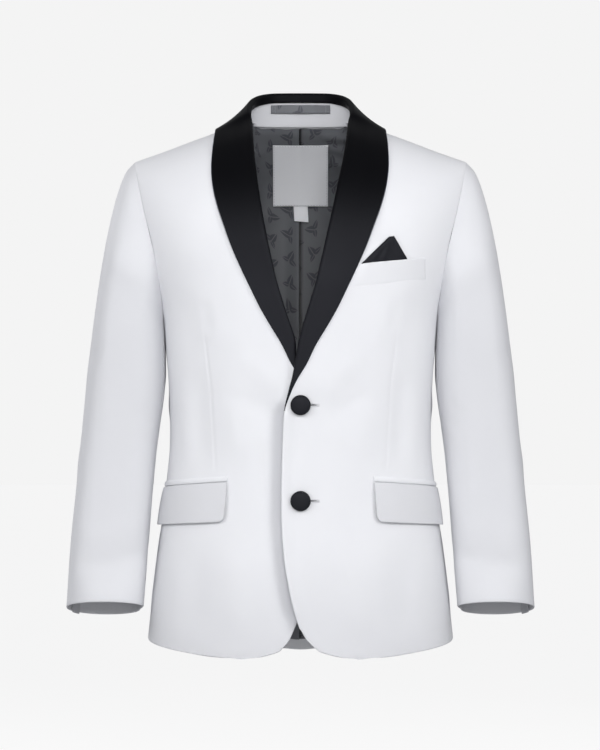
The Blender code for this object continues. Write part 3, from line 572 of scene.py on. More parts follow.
suiting = {
    "colour": (0.800, 0.805, 0.830),
    "shade": (0.745, 0.752, 0.785),
    "paintedShadeColour": (0.0, 0.0, 0.03),
    "roughness": 0.88,
    "sheen": 0.03,
    "specular": 0.25,
    "ribMm": 0.55,  # one diagonal rib of the twill
    "ribLean": -58.0,
    "ribDepth": 0.00006,
    "threads": (900.0, 3400.0, 1000.0),  # how fine, across and along the cloth, as for the other cloths
    "slubs": (60.0, 240.0, 100.0),
}


def suitingMaterial(name, look):
    made, tree = newMaterial(name)
    ribs = {
        "Vector": clothUv(tree, turn=look["ribLean"]),
        "Scale": math.tau / look["ribMm"] / 20,
        "Distortion": 0.8,
        "Detail": 1.0,
        "Detail Scale": 2.0,
    }
    ribs = addNode(tree, "TexWave", ribs).outputs["Fac"]
    thread = clothNoise(tree, look["threads"])
    slub = clothNoise(tree, look["slubs"], 3.0)
    tone = noiseOf(tree, clothUv(tree), 0.02, 2.0)
    height = math2(tree, "MULTIPLY_ADD", thread, 0.5, ribs)
    height = math2(tree, "MULTIPLY_ADD", slub, 0.4, height)
    share = math2(tree, "MULTIPLY_ADD", ribs, 0.08, math2(tree, "MULTIPLY", tone, 0.5))
    colour = mixColours(tree, share, look["colour"], look["shade"])
    setShader(tree, height, look["ribDepth"], 0.6, {
        "Base Color": withPaintedShade(tree, colour, look["paintedShadeColour"]),
        "Roughness": look["roughness"],
        "Sheen Weight": look["sheen"],
        "Sheen Roughness": 0.6,
        "Specular IOR Level": look["specular"],
    })
    return made


satin = {
    # painted sheen: the base colours are paler than the satin's own black, standing in for the sheen it
    # catches from the front light
    "colour": (0.0135, 0.0137, 0.0172),
    "shade": (0.0170, 0.0173, 0.0210),
    "paintedShadeColour": (0.0012, 0.0012, 0.0018),
    "roughness": 0.46,
    "anisotropy": 0.20,
    "specular": 0.08,
    "glint": (0.90, 0.93, 1.0),
    "threadDepth": 0.00004,
    "threads": (350.0, 4200.0, 500.0),
    "mottle": (30.0, 90.0, 40.0),
}


def satinMaterial(name, look):
    made, tree = newMaterial(name)
    thread = clothNoise(tree, look["threads"])
    fold = clothNoise(tree, look["mottle"], 3.0)
    colour = mixColours(tree, thread, look["colour"], look["shade"])
    setShader(tree, thread, look["threadDepth"], 0.5, {
        "Base Color": withPaintedShade(tree, colour, look["paintedShadeColour"]),
        "Roughness": math2(tree, "MULTIPLY_ADD", fold, 0.12, look["roughness"] - 0.06),
        "Anisotropic": look["anisotropy"],
        "Specular IOR Level": look["specular"],
        "Specular Tint": (*look["glint"], 1.0),
    })
    return made


liningCloth = {
    "colour": (0.139, 0.145, 0.158),
    "sheenOf": (0.170, 0.176, 0.192),
    "motif": (0.066, 0.069, 0.080),
    "paintedShadeColour": (0.0, 0.0, 0.0),
    "roughness": 0.42,
    "specular": 0.20,
    "cellMm": (18.5, 21.0),  # one repeat of the leaf sprig, in half drop
    "leafMm": (5.8, 10.4),
    "leaves": ((38.0, 3.6, 1.0), (-62.0, 3.4, 0.80), (150.0, 3.4, 0.70)),  # turn, mm from the middle, size
    "lineMm": 0.9,
    "veinMm": 0.42,
    "lean": 2.2,  # how unevenly the sprigs lean, in radians
    "threads": (500.0, 2600.0, 500.0),
    "threadDepth": 0.00004,
    "sheen": 0.05,
}


def liningMaterial(name, look):
    # grey lining with a small leaf repeat, darker and tone on tone
    made, tree = newMaterial(name)

    def m(kind, *values):
        return math2(tree, kind, *values)

    split = addNode(tree, "SeparateXYZ", {0: clothUv(tree)})
    wide, tall = look["cellMm"]
    u = m("DIVIDE", split.outputs["X"], wide)
    columnNumber = m("FLOOR", u)
    odd = m("FLOORED_MODULO", columnNumber, 2.0)
    v = m("MULTIPLY_ADD", odd, 0.5, m("DIVIDE", split.outputs["Y"], tall))
    inU = m("MULTIPLY", m("SUBTRACT", m("FRACT", u), 0.5), wide)
    inV = m("MULTIPLY", m("SUBTRACT", m("FRACT", v), 0.5), tall)
    side = m("MULTIPLY_ADD", odd, 2.0, -1.0)  # every second column leans the other way
    cell = addNode(tree, "CombineXYZ", {0: columnNumber, 1: m("FLOOR", v)}).outputs[0]
    chance = addNode(tree, "TexWhiteNoise", {"Vector": cell}, noise_dimensions="2D").outputs["Value"]
    leaning = m("MULTIPLY_ADD", chance, look["lean"], -look["lean"] / 2)
    sine, cosine = m("SINE", leaning), m("COSINE", leaning)
    turnedU = m("MULTIPLY", inU, side)
    leanU = m("ADD", m("MULTIPLY", turnedU, cosine), m("MULTIPLY", inV, sine))
    leanV = m("SUBTRACT", m("MULTIPLY", inV, cosine), m("MULTIPLY", turnedU, sine))
    motif = None
    for lean, alongMm, size in look["leaves"]:
        sine, cosine = math.sin(math.radians(lean)), math.cos(math.radians(lean))
        a = m("ADD", m("MULTIPLY", leanU, cosine), m("MULTIPLY", leanV, sine))
        b = m("SUBTRACT", m("MULTIPLY", leanV, cosine), m("MULTIPLY", leanU, sine))
        b = m("SUBTRACT", b, alongMm * 1.2)
        halfWide, halfTall = (mm * size / 2 for mm in look["leafMm"])
        taper = m("MAXIMUM", m("MULTIPLY_ADD", b, -0.55 / halfTall, 1.0), 0.25)  # broad at the foot
        reach = m("DIVIDE", a, m("MULTIPLY", taper, halfWide))
        rise = m("DIVIDE", b, halfTall)
        ring = m("SQRT", m("MULTIPLY_ADD", reach, reach, m("MULTIPLY", rise, rise)))
        inside = m("MULTIPLY", m("SUBTRACT", 1.0, ring), min(halfWide, halfTall) / look["lineMm"])
        edge = {"Value": inside, "From Min": 0.0, "From Max": 0.45}
        leaf = addNode(tree, "MapRange", edge, interpolation_type="SMOOTHSTEP").outputs[0]
        fromVein = m("ABSOLUTE", m("SUBTRACT", a, m("MULTIPLY", b, 0.12)))
        leaf = m("MULTIPLY", leaf, m("GREATER_THAN", fromVein, look["veinMm"] * size))
        motif = leaf if motif is None else m("MAXIMUM", motif, leaf)
    twill = clothNoise(tree, look["threads"])
    colour = mixColours(tree, motif, look["colour"], look["motif"])
    colour = mixColours(tree, m("MULTIPLY", twill, 0.30), colour, look["sheenOf"])
    setShader(tree, twill, look["threadDepth"], 0.4, {
        "Base Color": withPaintedShade(tree, colour, look["paintedShadeColour"]),
        "Roughness": m("MULTIPLY_ADD", motif, 0.18, look["roughness"]),
        "Specular IOR Level": look["specular"],
        "Sheen Weight": look["sheen"],
    })
    return made


labelCloth = {
    "colour": (0.93, 0.94, 0.97),
    "shade": (0.84, 0.85, 0.89),
    "roughness": 0.42,
    "sheen": 0.2,
    "threads": (400.0, 2400.0, 400.0),
    "threadDepth": 0.00005,
}


def labelMaterial(name, look):
    made, tree = newMaterial(name)
    weave = {"Vector": clothUv(tree), "Scale": 0.9, "Distortion": 0.6}
    weave = addNode(tree, "TexWave", weave, bands_direction="Y").outputs["Fac"]
    thread = clothNoise(tree, look["threads"])
    share = math2(tree, "MULTIPLY_ADD", weave, 0.35, math2(tree, "MULTIPLY", thread, 0.5))
    setShader(tree, share, look["threadDepth"], 0.5, {
        "Base Color": mixColours(tree, share, look["colour"], look["shade"]),
        "Roughness": look["roughness"],
        "Sheen Weight": look["sheen"],
    })
    return made


def threadMaterial(name, colour, roughness=0.6):
    made, tree = newMaterial(name)
    strand = noiseOf(tree, addNode(tree, "TexCoord").outputs["Object"], 1800.0, 2.0)
    setShader(tree, strand, 0.00005, 0.5, {
        "Base Color": mixColours(tree, strand, colour, tuple(c * 0.82 for c in colour)),
        "Roughness": roughness,
        "Sheen Weight": 0.2,
    })
    return made


finish["suiting"] = suitingMaterial("white suiting", suiting)
finish["satin"] = satinMaterial("black satin", satin)
finish["lining"] = liningMaterial("grey leaf lining", liningCloth)
finish["label"] = labelMaterial("label satin", labelCloth)
finish["whiteThread"] = threadMaterial("white thread", (0.72, 0.72, 0.75))
finish["greyThread"] = threadMaterial("grey thread", (0.30, 0.31, 0.34))
finish["slitShade"] = threadMaterial("buttonhole painted shadow", (0.10, 0.10, 0.11), 0.9)
print("materials made:", len(finish))


fronts = {
    "wall": 0.0016,
    "flat": (0.165, 0.490),
    "share": 0.85,
    "facing": 0.045,  # white cloth inside, from the front edge
    "hemInside": 0.016,
    "dart": (
        # x, height, from the top of the dart to its end at the pocket
        (0.0855, -0.176), (0.0788, -0.235), (0.0745, -0.308),
    ),
    "dartWidth": 0.0009,
    "dartDepth": -0.00040,
    "dartFoot": 0.004,
    "dartFade": 0.030,
    "edgeRoll": 0.0034,  # the front on top stands up along its turned edge
    "edgeRollWidth": 0.0075,
    "underSink": -0.0042,  # the front below sinks where that edge lies over it
    "underSinkWidth": 0.0110,
    # painted shadow on the front below, beside the edge of the front on top
    "paintedEdgeShadow": 0.17,
    "paintedEdgeShadowWidth": 0.0085,
    "dimple": -0.0007,  # round a button
    "dimpleWidth": 0.0125,
    "hemShadePainted": 0.095,  # painted shade: how much darker the cloth is made towards the hem, where less light falls
    "hemShadeBand": (0.36, 0.46),  # how far below the shoulder, as in the next two
    "sinkEnds": (0.43, 0.455),
    "rollEnds": (0.425, 0.462),
    "cornerFlatter": 0.75,
    "folds": (
        # fromX, fromHeight, toX, toHeight, width, depth
        (0.006, -0.247, 0.06, -0.205, 0.011, 0.0013),
        (0.016, -0.262, 0.07, -0.24, 0.01, -0.001),
        (0.06, -0.205, 0.105, -0.14, 0.014, 0.001),
        (0.098, -0.15, 0.092, -0.215, 0.01, -0.0008),
        (0.084, -0.16, 0.08, -0.19, 0.006, -0.0009),
        (0.09, -0.215, 0.086, -0.31, 0.009, -0.0013),
        (0.062, -0.215, 0.052, -0.31, 0.013, 0.0012),
        (0.104, -0.23, 0.1, -0.3, 0.008, 0.0009),
        (0.02, -0.275, 0.06, -0.29, 0.01, 0.0007),
        (0.018, -0.35, 0.05, -0.375, 0.012, -0.0007),
        (0.062, -0.375, 0.05, -0.455, 0.015, 0.0012),
        (0.092, -0.375, 0.09, -0.455, 0.012, -0.0011),
        (0.03, -0.395, 0.022, -0.45, 0.01, -0.0007),
        (0.075, -0.06, 0.11, -0.1, 0.012, 0.0008),
        (0.062, -0.08, 0.09, -0.125, 0.01, -0.0007),
    ),
}
sides = {
    "wall": 0.0016,
    "flat": (0.075, 0.312),
    "share": 0.75,
    "folds": (
        # fromY, fromHeight, toY, toHeight, width, depth
        (-0.03, -0.215, 0.026, -0.238, 0.01, -0.0015),
        (-0.026, -0.25, 0.03, -0.262, 0.011, 0.0014),
        (-0.024, -0.3, 0.02, -0.285, 0.009, -0.001),
        (0.004, -0.35, 0.01, -0.45, 0.013, 0.0016),
        (-0.018, -0.38, -0.022, -0.455, 0.01, -0.0012),
    ),
}
backs = {
    "wall": 0.0016,
    "flat": (0.165, 0.490),
    "share": 0.85,
    "neckX": (0.0, 0.0143, 0.0280, 0.0390),
    "neckZ": (0.0040, 0.00375, 0.0035, 0.0029),
    "folds": (
        (0.01, -0.04, 0.07, -0.06, 0.01, 0.0016),
        (0.016, -0.075, 0.072, -0.088, 0.008, -0.0016),
        (0.1, -0.09, 0.052, -0.2, 0.01, 0.0023),
        (0.108, -0.13, 0.075, -0.225, 0.007, -0.0021),
        (0.098, -0.17, 0.07, -0.24, 0.006, 0.0012),
        (0.012, -0.238, 0.08, -0.258, 0.008, -0.0022),
        (0.022, -0.275, 0.09, -0.284, 0.009, 0.0018),
        (0.014, -0.31, 0.06, -0.3, 0.007, -0.0012),
        (0.042, -0.34, 0.06, -0.46, 0.012, 0.0024),
        (0.078, -0.335, 0.096, -0.45, 0.009, -0.0023),
        (0.016, -0.37, 0.022, -0.45, 0.008, -0.0014),
    ),
}


def seamTurns():
    turns, _ = armholePlace(np.array([armhole["frontSeamAt"], armhole["backSeamAt"]]))
    return float(turns[0]), float(turns[1])


def frontEdgePlaces(over):
    rolls = [(row[0], row[1]) for row in lapel["stations"] if row[1] > -0.25]
    neck = lapel["stand"][0][3:5], (body["neckPointX"], float(ridge(body["neckPointX"])))
    x, height = np.array([*frontEdge["edge"], *rolls, *neck]).T
    return pairs(place(x + underRoll(height, over), height))


def panelSide(turn, angles, rows):
    arm = pairs(armholePlace(angles))
    share = steps(0, 1, rows)[:-1, None]
    return np.concatenate([between((pairs(hemPlace(turn)), arm[0]), share), arm])


def armholeAngles(first, last):
    step = armhole["step"] if last > first else -armhole["step"]
    return np.arange(first, last + step / 2, step)


def frontNet(over):
    left = frontEdgePlaces(over)
    seamTurn, _ = seamTurns()
    angles = armholeAngles(armhole["frontSeamAt"], 0)
    right = panelSide(seamTurn, angles, len(left) - len(angles))
    columns = 12
    bottom = pairs(hemPlace(steps(left[0, 0], seamTurn, columns)))
    shoulderX = steps(body["neckPointX"], body["shoulderTipX"], columns)
    top = pairs(place(shoulderX, ridge(shoulderX)))
    return relaxed(coons(left, right, bottom, top), 6)


def sideNet():
    top = pairs(armholePlace(armholeAngles(armhole["frontSeamAt"], armhole["backSeamAt"])))
    return between((pairs(hemPlace(top[:, 0]))[None], top[None]), steps(0, 1, 18)[:, None, None])


def backNet():
    _, seamTurn = seamTurns()
    right = panelSide(seamTurn, armholeAngles(armhole["backSeamAt"], armhole["shoulderAt"]), 13)
    neckX = np.array([*backs["neckX"], body["neckPointX"]])
    neckZ = np.array([*backs["neckZ"], float(ridge(body["neckPointX"]))])
    shoulderX = steps(body["neckPointX"], body["shoulderTipX"], 7)[1:]
    neckline = pairs(place(neckX, neckZ, behind=True))
    shoulder = pairs(place(shoulderX, ridge(shoulderX), behind=True))
    top = np.concatenate([neckline, shoulder])
    bottom = pairs(hemPlace(steps(math.pi, seamTurn, len(top) - 1)))
    left = between((bottom[0], top[0]), steps(0, 1, len(right) - 1)[:, None])
    return coons(left, right, bottom, top)


def dartOffset(x, height):
    line = np.array(fronts["dart"])[::-1]
    path = np.interp(height, line[:, 1], line[:, 0])
    foot, point = line[0, 1], line[-1, 1]
    soft = fronts["dartFoot"]
    ends = ease(height, foot - soft, foot + soft) * (1 - ease(height, point - fronts["dartFade"], point))
    return fronts["dartDepth"] * ends * bell((x - path) / fronts["dartWidth"])


def edgeDistance(x, height):
    # how far a place on a front is from its turned edge and the curve of the hem
    line = np.array(frontEdge["edge"] + frontEdge["pastFoot"])
    at = steps(0, len(line) - 1, 12 * (len(line) - 1))
    lineX, lineZ = (np.interp(at, np.arange(len(line)), line[:, axis]) for axis in (0, 1))
    x, height = np.asarray(x, float), np.asarray(height, float)
    away = (x[..., None] - lineX) ** 2 + (height[..., None] - lineZ) ** 2
    return np.sqrt(away.min(axis=-1))


def belowLapel(height):
    return 1 - ease(height, *frontEdge["lapelFoot"])


def edgeOffset(x, height, over):
    down = -np.asarray(height, float)
    if not over:
        reach = bell(edgeDistance(-x, height) / fronts["underSinkWidth"])
        return fronts["underSink"] * reach * (1 - ease(down, *fronts["sinkEnds"])) * belowLapel(height)
    flatter = 1 - fronts["cornerFlatter"] * ease(down, *fronts["rollEnds"])
    roll = bell(edgeDistance(x, height) / fronts["edgeRollWidth"]) * flatter
    wide = fronts["dimpleWidth"]
    near = sum(bell(np.hypot(x, height - at) / wide) for at in frontEdge["buttonHeights"].values())
    return fronts["edgeRoll"] * roll * belowLapel(height) + fronts["dimple"] * near


def paintedEdgeShadow(x, height, over):
    # painted shadow: the front below is darker beside the edge that lies over it
    beside = bell(edgeDistance(-x, height) / fronts["paintedEdgeShadowWidth"])
    return 0.0 if over else fronts["paintedEdgeShadow"] * beside * belowLapel(height)


def frontOffset(x, height, over):
    return creases(x, height, fronts["folds"]) + dartOffset(x, height) + edgeOffset(x, height, over)


def makePanels():
    twoCloths = ("lining", "suiting")
    for side, hand in hands:
        over = hand > 0
        net = finer(frontNet(over), 6, 9)
        points, normals = trunk(net[..., 0], net[..., 1])
        x, height = points[..., 0], points[..., 2]
        face = moved(points, normals, frontLift(points, over) + frontOffset(x, height, over))
        white = runs(face)[0][:-1, :-1] < fronts["facing"]
        white = white | (height[:-1, :-1] < height[:1, :-1] + fronts["hemInside"])
        # painted shade: darker towards the hem, and on the front below a painted shadow beside the edge on
        # top
        cut(
            f"front_cloth_{side}", f"front_{side}", face, normals[len(net) // 2, net.shape[1] // 2], fronts,
            "suiting", inside=twoCloths, edges="fssf", insideOf=1 + white, hand=hand, normals=normals,
            tone=1 - fronts["hemShadePainted"] * ease(-height, *fronts["hemShadeBand"]) - paintedEdgeShadow(x, height, over),
        )

        net = finer(sideNet(), 6, 8)
        points, normals = trunk(net[..., 0], net[..., 1])
        white = points[:-1, :-1, 2] < points[:1, :-1, 2] + fronts["hemInside"]
        inward = np.sin(steps(0, 1, net.shape[1] - 1) * math.pi)  # folds end before the seams
        face = moved(points, normals, creases(points[..., 1], points[..., 2], sides["folds"]) * inward)
        cut(
            f"side_cloth_{side}", f"side_{side}", face, normals[len(net) // 2, 10], sides, "suiting",
            inside=twoCloths, edges="fsss", insideOf=1 + white, hand=hand,
        )

        net = finer(backNet(), 7, 7)
        points, normals = trunk(net[..., 0], net[..., 1])
        points[:, 0, 0] = 0.0
        face = moved(points, normals, creases(points[..., 0], points[..., 2], backs["folds"]))
        outward = normals[len(net) // 2, 10]
        cut(f"back_cloth_{side}", f"back_{side}", face, outward, backs, "suiting", edges="fsss", hand=hand)


makePanels()
print("fronts, sides and backs made")


sleeve = {
    "wall": 0.0016,
    "rings": (
        # height, innerX, outerX, centreY, halfDepth, rise, pitch in degrees
        (-0.2, 0.1228, 0.1878, 0.002, 0.047, 8.0, 0.0),
        (-0.224, 0.1226, 0.191, 0.0025, 0.045, 7.0, 0.5),
        (-0.248, 0.1236, 0.1932, 0.0027, 0.0432, 6.0, 1.0),
        (-0.27, 0.1262, 0.1953, 0.0025, 0.0418, 5.0, 3.0),
        (-0.292, 0.129, 0.1974, 0.0015, 0.0404, 4.0, 5.0),
        (-0.318, 0.1314, 0.1998, -0.001, 0.0388, 3.0, 8.0),
        (-0.345, 0.1335, 0.2023, -0.0045, 0.0374, 2.0, 11.0),
        (-0.374, 0.1354, 0.205, -0.009, 0.036, 1.0, 13.0),
        (-0.404, 0.1374, 0.207, -0.0145, 0.0348, 0.0, 15.0),
        (-0.4342, 0.1394, 0.2088, -0.0205, 0.0338, 0.0, 14.2),
    ),
    "flatness": (3.3, 2.3),  # of the front half, as the body's squareness, and at the cuff
    "cuffFrom": 0.385,
    "pressed": (0.120, 0.185),  # how far below the shoulder the pressed folds begin
    # degrees, wide, how far it stands out above and below the elbow
    "foreFold": (150.0, 22.0, 0.0044, 0.0034),
    "hindFold": (190.0, 22.0, 0.0014, -0.0030),  # behind it, where the under sleeve comes to the body
    "elbow": (-0.224, -0.268),
    "break": (64.0, -0.1210, 158.0, -0.1650),  # the sleeve bends along this line: degrees and height, twice
    "breakAbove": 0.042,
    "breakBelow": 0.010,
    "breakRise": 0.0021,
    "breakEnds": ((-0.25, 0.15), (0.95, 1.20)),  # shares of its length
    "tone": (0.862, 0.925),  # painted shade: how light the cloth is below and above that line, darker below where the sleeve bends from the light
    "paintedShadeBand": (-0.016, 0.012),
    "paintedLightSpots": (
        # painted light and shade, lighter where how much is above 0: degrees and height, wide, tall, how
        # much
        (146.0, -0.33, 11.0, 0.038, 0.06),
        (110.0, -0.412, 45.0, 0.022, 0.06),
        (120.0, -0.08, 30.0, 0.05, 0.02),
        (4.0, -0.27, 34.0, 0.26, -0.05),
    ),
    "headSteps": 6,
    "headOut": (0.06, 0.28, 0.23),  # out of the armhole: all round, more above, more at the sides
    "headForward": -0.10,
    "headDown": (0.13, 0.87),  # and so far down: all round, below
    "forearmSeam": (150.0, 156.0),  # degrees round the sleeve at the armhole and at the cuff
    "hindSeam": (-105.0, -42.0),
    "radius": 0.035,  # turns degrees round the sleeve into a way across it
    "cuffLining": 0.030,
    "top": {"columns": 17, "flat": (0.155, 0.420), "share": 0.84},
    "under": {"columns": 7, "flat": (0.075, 0.360), "share": 0.88},
    "folds": (
        # from degrees and height, to degrees and height, width, depth; degrees count 0.6 mm each
        (20, -0.2, 60, -0.215, 0.012, -0.0008),
        (110, -0.25, 140, -0.27, 0.012, -0.0006),
        (48, -0.372, 145, -0.36, 0.012, 0.0009),
        (42, -0.398, 165, -0.381, 0.008, -0.0014),
        (60, -0.425, 140, -0.418, 0.012, 0.0007),
        (70, -0.1, 60, -0.15, 0.01, 0.0007),
        (-60, -0.29, 20, -0.31, 0.013, 0.0009),
        (-70, -0.32, 0, -0.345, 0.012, -0.001),
        (-80, -0.15, -50, -0.22, 0.013, 0.0009),
    ),
}


def sleeveRing(height, angle):
    table = sleeve["rings"][::-1]
    inner, outer, centreY, halfDepth, rise, pitch = (smooth(table, i, height) for i in range(1, 7))
    middle = np.stack([(inner + outer) / 2, centreY, height], axis=-1)
    rise, pitch, angle = np.radians(rise), np.radians(pitch), np.radians(angle)
    out = np.stack([np.cos(rise), 0 * rise, np.sin(rise)], axis=-1)
    front = np.stack([0 * pitch, -np.cos(pitch), np.sin(pitch)], axis=-1)
    flatness = between(sleeve["flatness"], ease(-height, sleeve["cuffFrom"], -table[0][0]))
    power = np.where(np.sin(angle) > 0, 2 / flatness, 1.0)
    across = (outer - inner) / 2 * signedPower(np.cos(angle), power)
    forward = halfDepth * signedPower(np.sin(angle), power)
    return middle + out * across[..., None] + front * forward[..., None], middle


def sleevePress(angle, height):
    # the pressed sleeve: flat in front up to a fold on its inner side, and drawn in behind that fold
    low = ease(-height, -sleeve["elbow"][0], -sleeve["elbow"][1])
    high = ease(-height, *sleeve["pressed"])
    total = 0.0
    for at, wide, above, below in (sleeve["foreFold"], sleeve["hindFold"]):
        total = total + (above * high + (below - above) * low) * bell((angle % 360 - at) / wide)
    return total


def acrossSleeve(degrees):
    return np.radians(degrees) * sleeve["radius"]


def sleeveNet(starts, ends):
    heights = column(sleeve["rings"], 0)
    angles = between((starts[None], ends[None]), np.linspace(0, 1, len(heights))[:, None])
    rings, _ = sleeveRing(np.broadcast_to(heights[:, None], angles.shape).copy(), angles)
    seam, _ = trunk(*armholePlace(starts))
    top = np.radians(starts)
    chord = np.linalg.norm(rings[0] - seam, axis=1)[:, None]
    least, above, beside = sleeve["headOut"]
    outwards = least + above * ((1 + np.cos(top)) / 2) + beside * np.sin(top) ** 2
    least, below = sleeve["headDown"]
    down = least + below * ((1 - np.cos(top)) / 2)
    leave = np.stack([outwards, sleeve["headForward"] * np.sin(top), -down], axis=-1) * chord
    arrive = unit(rings[1] - rings[0]) * chord
    head = [softStep(seam, leave, rings[0], arrive, s) for s in steps(0, 1, sleeve["headSteps"])[:-1]]
    headAngles = np.broadcast_to(starts, (len(head), len(starts)))
    return np.concatenate([np.array(head), rings]), np.concatenate([headAngles, angles])


def sleeveLook(net, angles):
    # how far the cloth stands out, and its painted light and shade
    height = net[..., 2]
    wrapped = (angles + 180) % 360 - 180
    across = acrossSleeve(wrapped)
    bend, *folds = [
        (acrossSleeve(fromAt), fromUp, acrossSleeve(toAt), *rest)
        for fromAt, fromUp, toAt, *rest in (sleeve["break"], *sleeve["folds"])
    ]
    above, along = besideLine(across, height, bend)
    begins, ends = sleeve["breakEnds"]
    fade = ease(along, *begins) * (1 - ease(along, *ends))
    wide = np.where(above > 0, sleeve["breakAbove"], sleeve["breakBelow"])
    offset = creases(across, height, folds) + sleevePress(angles, height)
    offset = offset + sleeve["breakRise"] * fade * bell(above / wide)
    tone = between(sleeve["tone"], ease(above, *sleeve["paintedShadeBand"]))
    for at, z, wide, tall, more in sleeve["paintedLightSpots"]:
        tone = tone + more * bell(np.hypot((wrapped - at) / wide, (height - z) / tall))
    return offset, np.minimum(tone, 1.0)


def makeSleeves():
    fore, hind = sleeve["forearmSeam"], sleeve["hindSeam"]
    seams = {"top": (hind, fore), "under": (fore, tuple(angle + 360 for angle in hind))}
    for side, hand in hands:
        for name, (first, last) in seams.items():
            count = sleeve[name]["columns"]
            net, angles = sleeveNet(steps(first[0], last[0], count), steps(first[1], last[1], count))
            net, angles = finer(net, 8, 5), finer(angles, 8, 5)
            r, c = len(net) // 2, net.shape[1] // 2
            outward = net[r, c] - np.array([np.mean(sleeve["rings"][2][1:3]), 0.0, net[r, c, 2]])
            offset, tone = sleeveLook(net, angles)
            face = moved(net, gridNormals(net, outward), offset)
            lined = net[:-1, :-1, 2] < sleeve["rings"][-1][0] + sleeve["cuffLining"]
            cut(
                f"sleeve_{name}_cloth_{side}", f"sleeve_{name}_{side}", face, outward, sleeve[name],
                "suiting", wall=sleeve["wall"], inside=("lining", "suiting"), edges="ssfs",
                insideOf=1 + lined, hand=hand, tone=tone,
            )


makeSleeves()

vent = {
    "height": 0.045,
    "from": 4.0,  # degrees round the sleeve from its hind seam
    "to": 24.0,
    "below": 0.0016,
    "under": 0.0025,
    "wall": 0.0012,
    # painted shade: the underlap is darker, as in the shadow inside the cuff
    "tone": 0.72,
    "flat": (0.013, 0.049),
}


def makeVents():
    cuff = sleeve["rings"][-1][0]
    start = sleeve["hindSeam"][1]
    rows = steps(cuff - vent["below"], cuff + vent["height"], 24)
    height, angle = np.meshgrid(rows, steps(start + vent["from"], start + vent["to"], 8), indexing="ij")
    points, middles = sleeveRing(np.maximum(height, cuff), angle)
    outward = unit((points - middles) * np.array([1.0, 1.0, 0.3]))
    points = points - outward * vent["under"]
    points[..., 2] += np.minimum(height - cuff, 0)
    for side, hand in hands:
        cut(
            f"vent_underlap_{side}", f"vent_{side}", points, outward[12, 4], vent, "suiting",
            [f"sleeve_top_cloth_{side}"], hand=hand, tone=vent["tone"],
        )


makeVents()
print("sleeves made")


collar = {
    "wall": 0.0014,
    "wallOfWidth": 0.35,  # at the narrow end
    "flat": (0.072, 0.400),
    "share": 0.70,
    "aboveFront": 0.0008,  # satin's face over the front at the narrow end of the roll
    "leastAbove": 0.0006,
    "turning": (0.10, 0.25, 0.50),  # how far the last lapel stations already turn up as the stand does
    "turnDown": (0.15, 0.0, -1.0),  # the way of the stand there
    "satinInside": 0.45,  # share of the way across that is satin on the inner side too
    "tone": 0.05,  # painted shade: over the shoulder the satin is mixed nearly to its darkest colour, as it faces the dark above; lower down the paler base is a painted sheen
    "paintedShadeBand": (-0.150, -0.045),
}
stand = {
    "wall": 0.0016,
    # painted shade: the stand is darker, as it lies in the shade inside the neck
    "tone": 0.83,
    "below": 0.10,  # share of its height that laps over the lining's edge
    "flat": (0.130, 0.030),
    "share": 0.9,
}


def standLines():
    # where the stand is sewn on, and where the collar folds over
    lower, upper = [], []
    for *fold, seamX, seamZ, _, _, _ in lapel["stand"]:
        seam, normal = trunk(*place(seamX, seamZ, fold[1] > 0))
        lower.append(seam - normal * body["clothWall"] / 2)
        upper.append(fold)
    return np.array(lower), np.array(upper)


def lapelLift(point, over):
    return float(frontLift(point, over) + edgeOffset(point[0], point[2], over))


def collarStations(over):
    # roll radius, inner leg, wrap, place of the roll, place of the edge, fold, way down, way out
    half = body["clothWall"] / 2
    for rollX, rollZ, edgeX, edgeZ, leg, wrap, rollShare in lapel["stations"]:
        radius = lapel["rollRadius"] * rollShare
        roll = place(rollX + underRoll(rollZ, over), rollZ)
        fold, out = trunk(*roll)
        fold = fold + out * (lapelLift(fold, over) + max(-half, collar["aboveFront"] - radius))
        yield radius, leg, wrap, roll, place(edgeX + underShift(edgeZ, over), edgeZ), fold, None, out
    for (*_, edgeX, edgeDrop, leg), lower, upper in zip(lapel["stand"], *standLines()):
        edge = place(edgeX, float(ridge(edgeX)) - abs(edgeDrop), edgeDrop < 0)
        yield lapel["rollRadius"], leg, 180.0, None, edge, upper, unit(lower - upper), None


def collarNet(over):
    # a leg inside, round the fold, and the fall or lapel out to its edge
    half = body["clothWall"] / 2
    stations = list(collarStations(over))
    tangents = unit(np.gradient(np.array([station[5] for station in stations]), axis=0))
    turning = dict(zip(range(len(lapel["stations"]) - 3, len(lapel["stations"])), collar["turning"]))
    rows = []
    for number, (radius, leg, wrap, roll, rim, fold, down, out) in enumerate(stations):
        tangent = tangents[number]
        share = turning.get(number, 0.0)
        edge, edgeNormal = trunk(*rim)
        lift = (lapelLift(edge, over) if roll else 0.0) + lapel["edgeLift"] * ease(edge[2], *lapel["lifts"])
        edge = edge + edgeNormal * (lift - half)
        fall = edge - fold
        if roll:
            down = unit(fall)
            down = unit(down - out * np.dot(down, out))
        if share:
            down = unit(between((down, np.array(collar["turnDown"])), share))
        if share or not roll:
            out = unit(np.cross(tangent, down))
            out = -out if np.dot(out, fall) < 0 else out
        down = unit(down - tangent * np.dot(down, tangent))
        out = unit(out - tangent * np.dot(out, tangent) - down * np.dot(out, down))
        lean = math.atan2(max(np.dot(fall, out), 0.0), np.dot(fall, down))
        turns = steps(math.pi - math.radians(wrap), math.pi - lean, lapel["arcSteps"])
        line = [fold - radius * (out * math.cos(turn) + down * math.sin(turn)) for turn in turns]
        inwards = down if wrap == 180.0 else -unit(line[1] - line[0])
        line.insert(0, line[0] + inwards * leg)
        begin = line[-1]
        end = edge + edgeNormal * radius
        for shareOut in steps(0, 1, lapel["fallSteps"])[1:]:
            point = between((begin, end), shareOut)
            if roll:
                onFront, normal = trunk(*between((np.array(roll), np.array(rim)), shareOut))
                lift = lapelLift(onFront, over) + max(radius - half, collar["leastAbove"])
                point = between((onFront + normal * lift, point), share)
            line.append(point)
        rows.append(line)
    return np.array(rows)


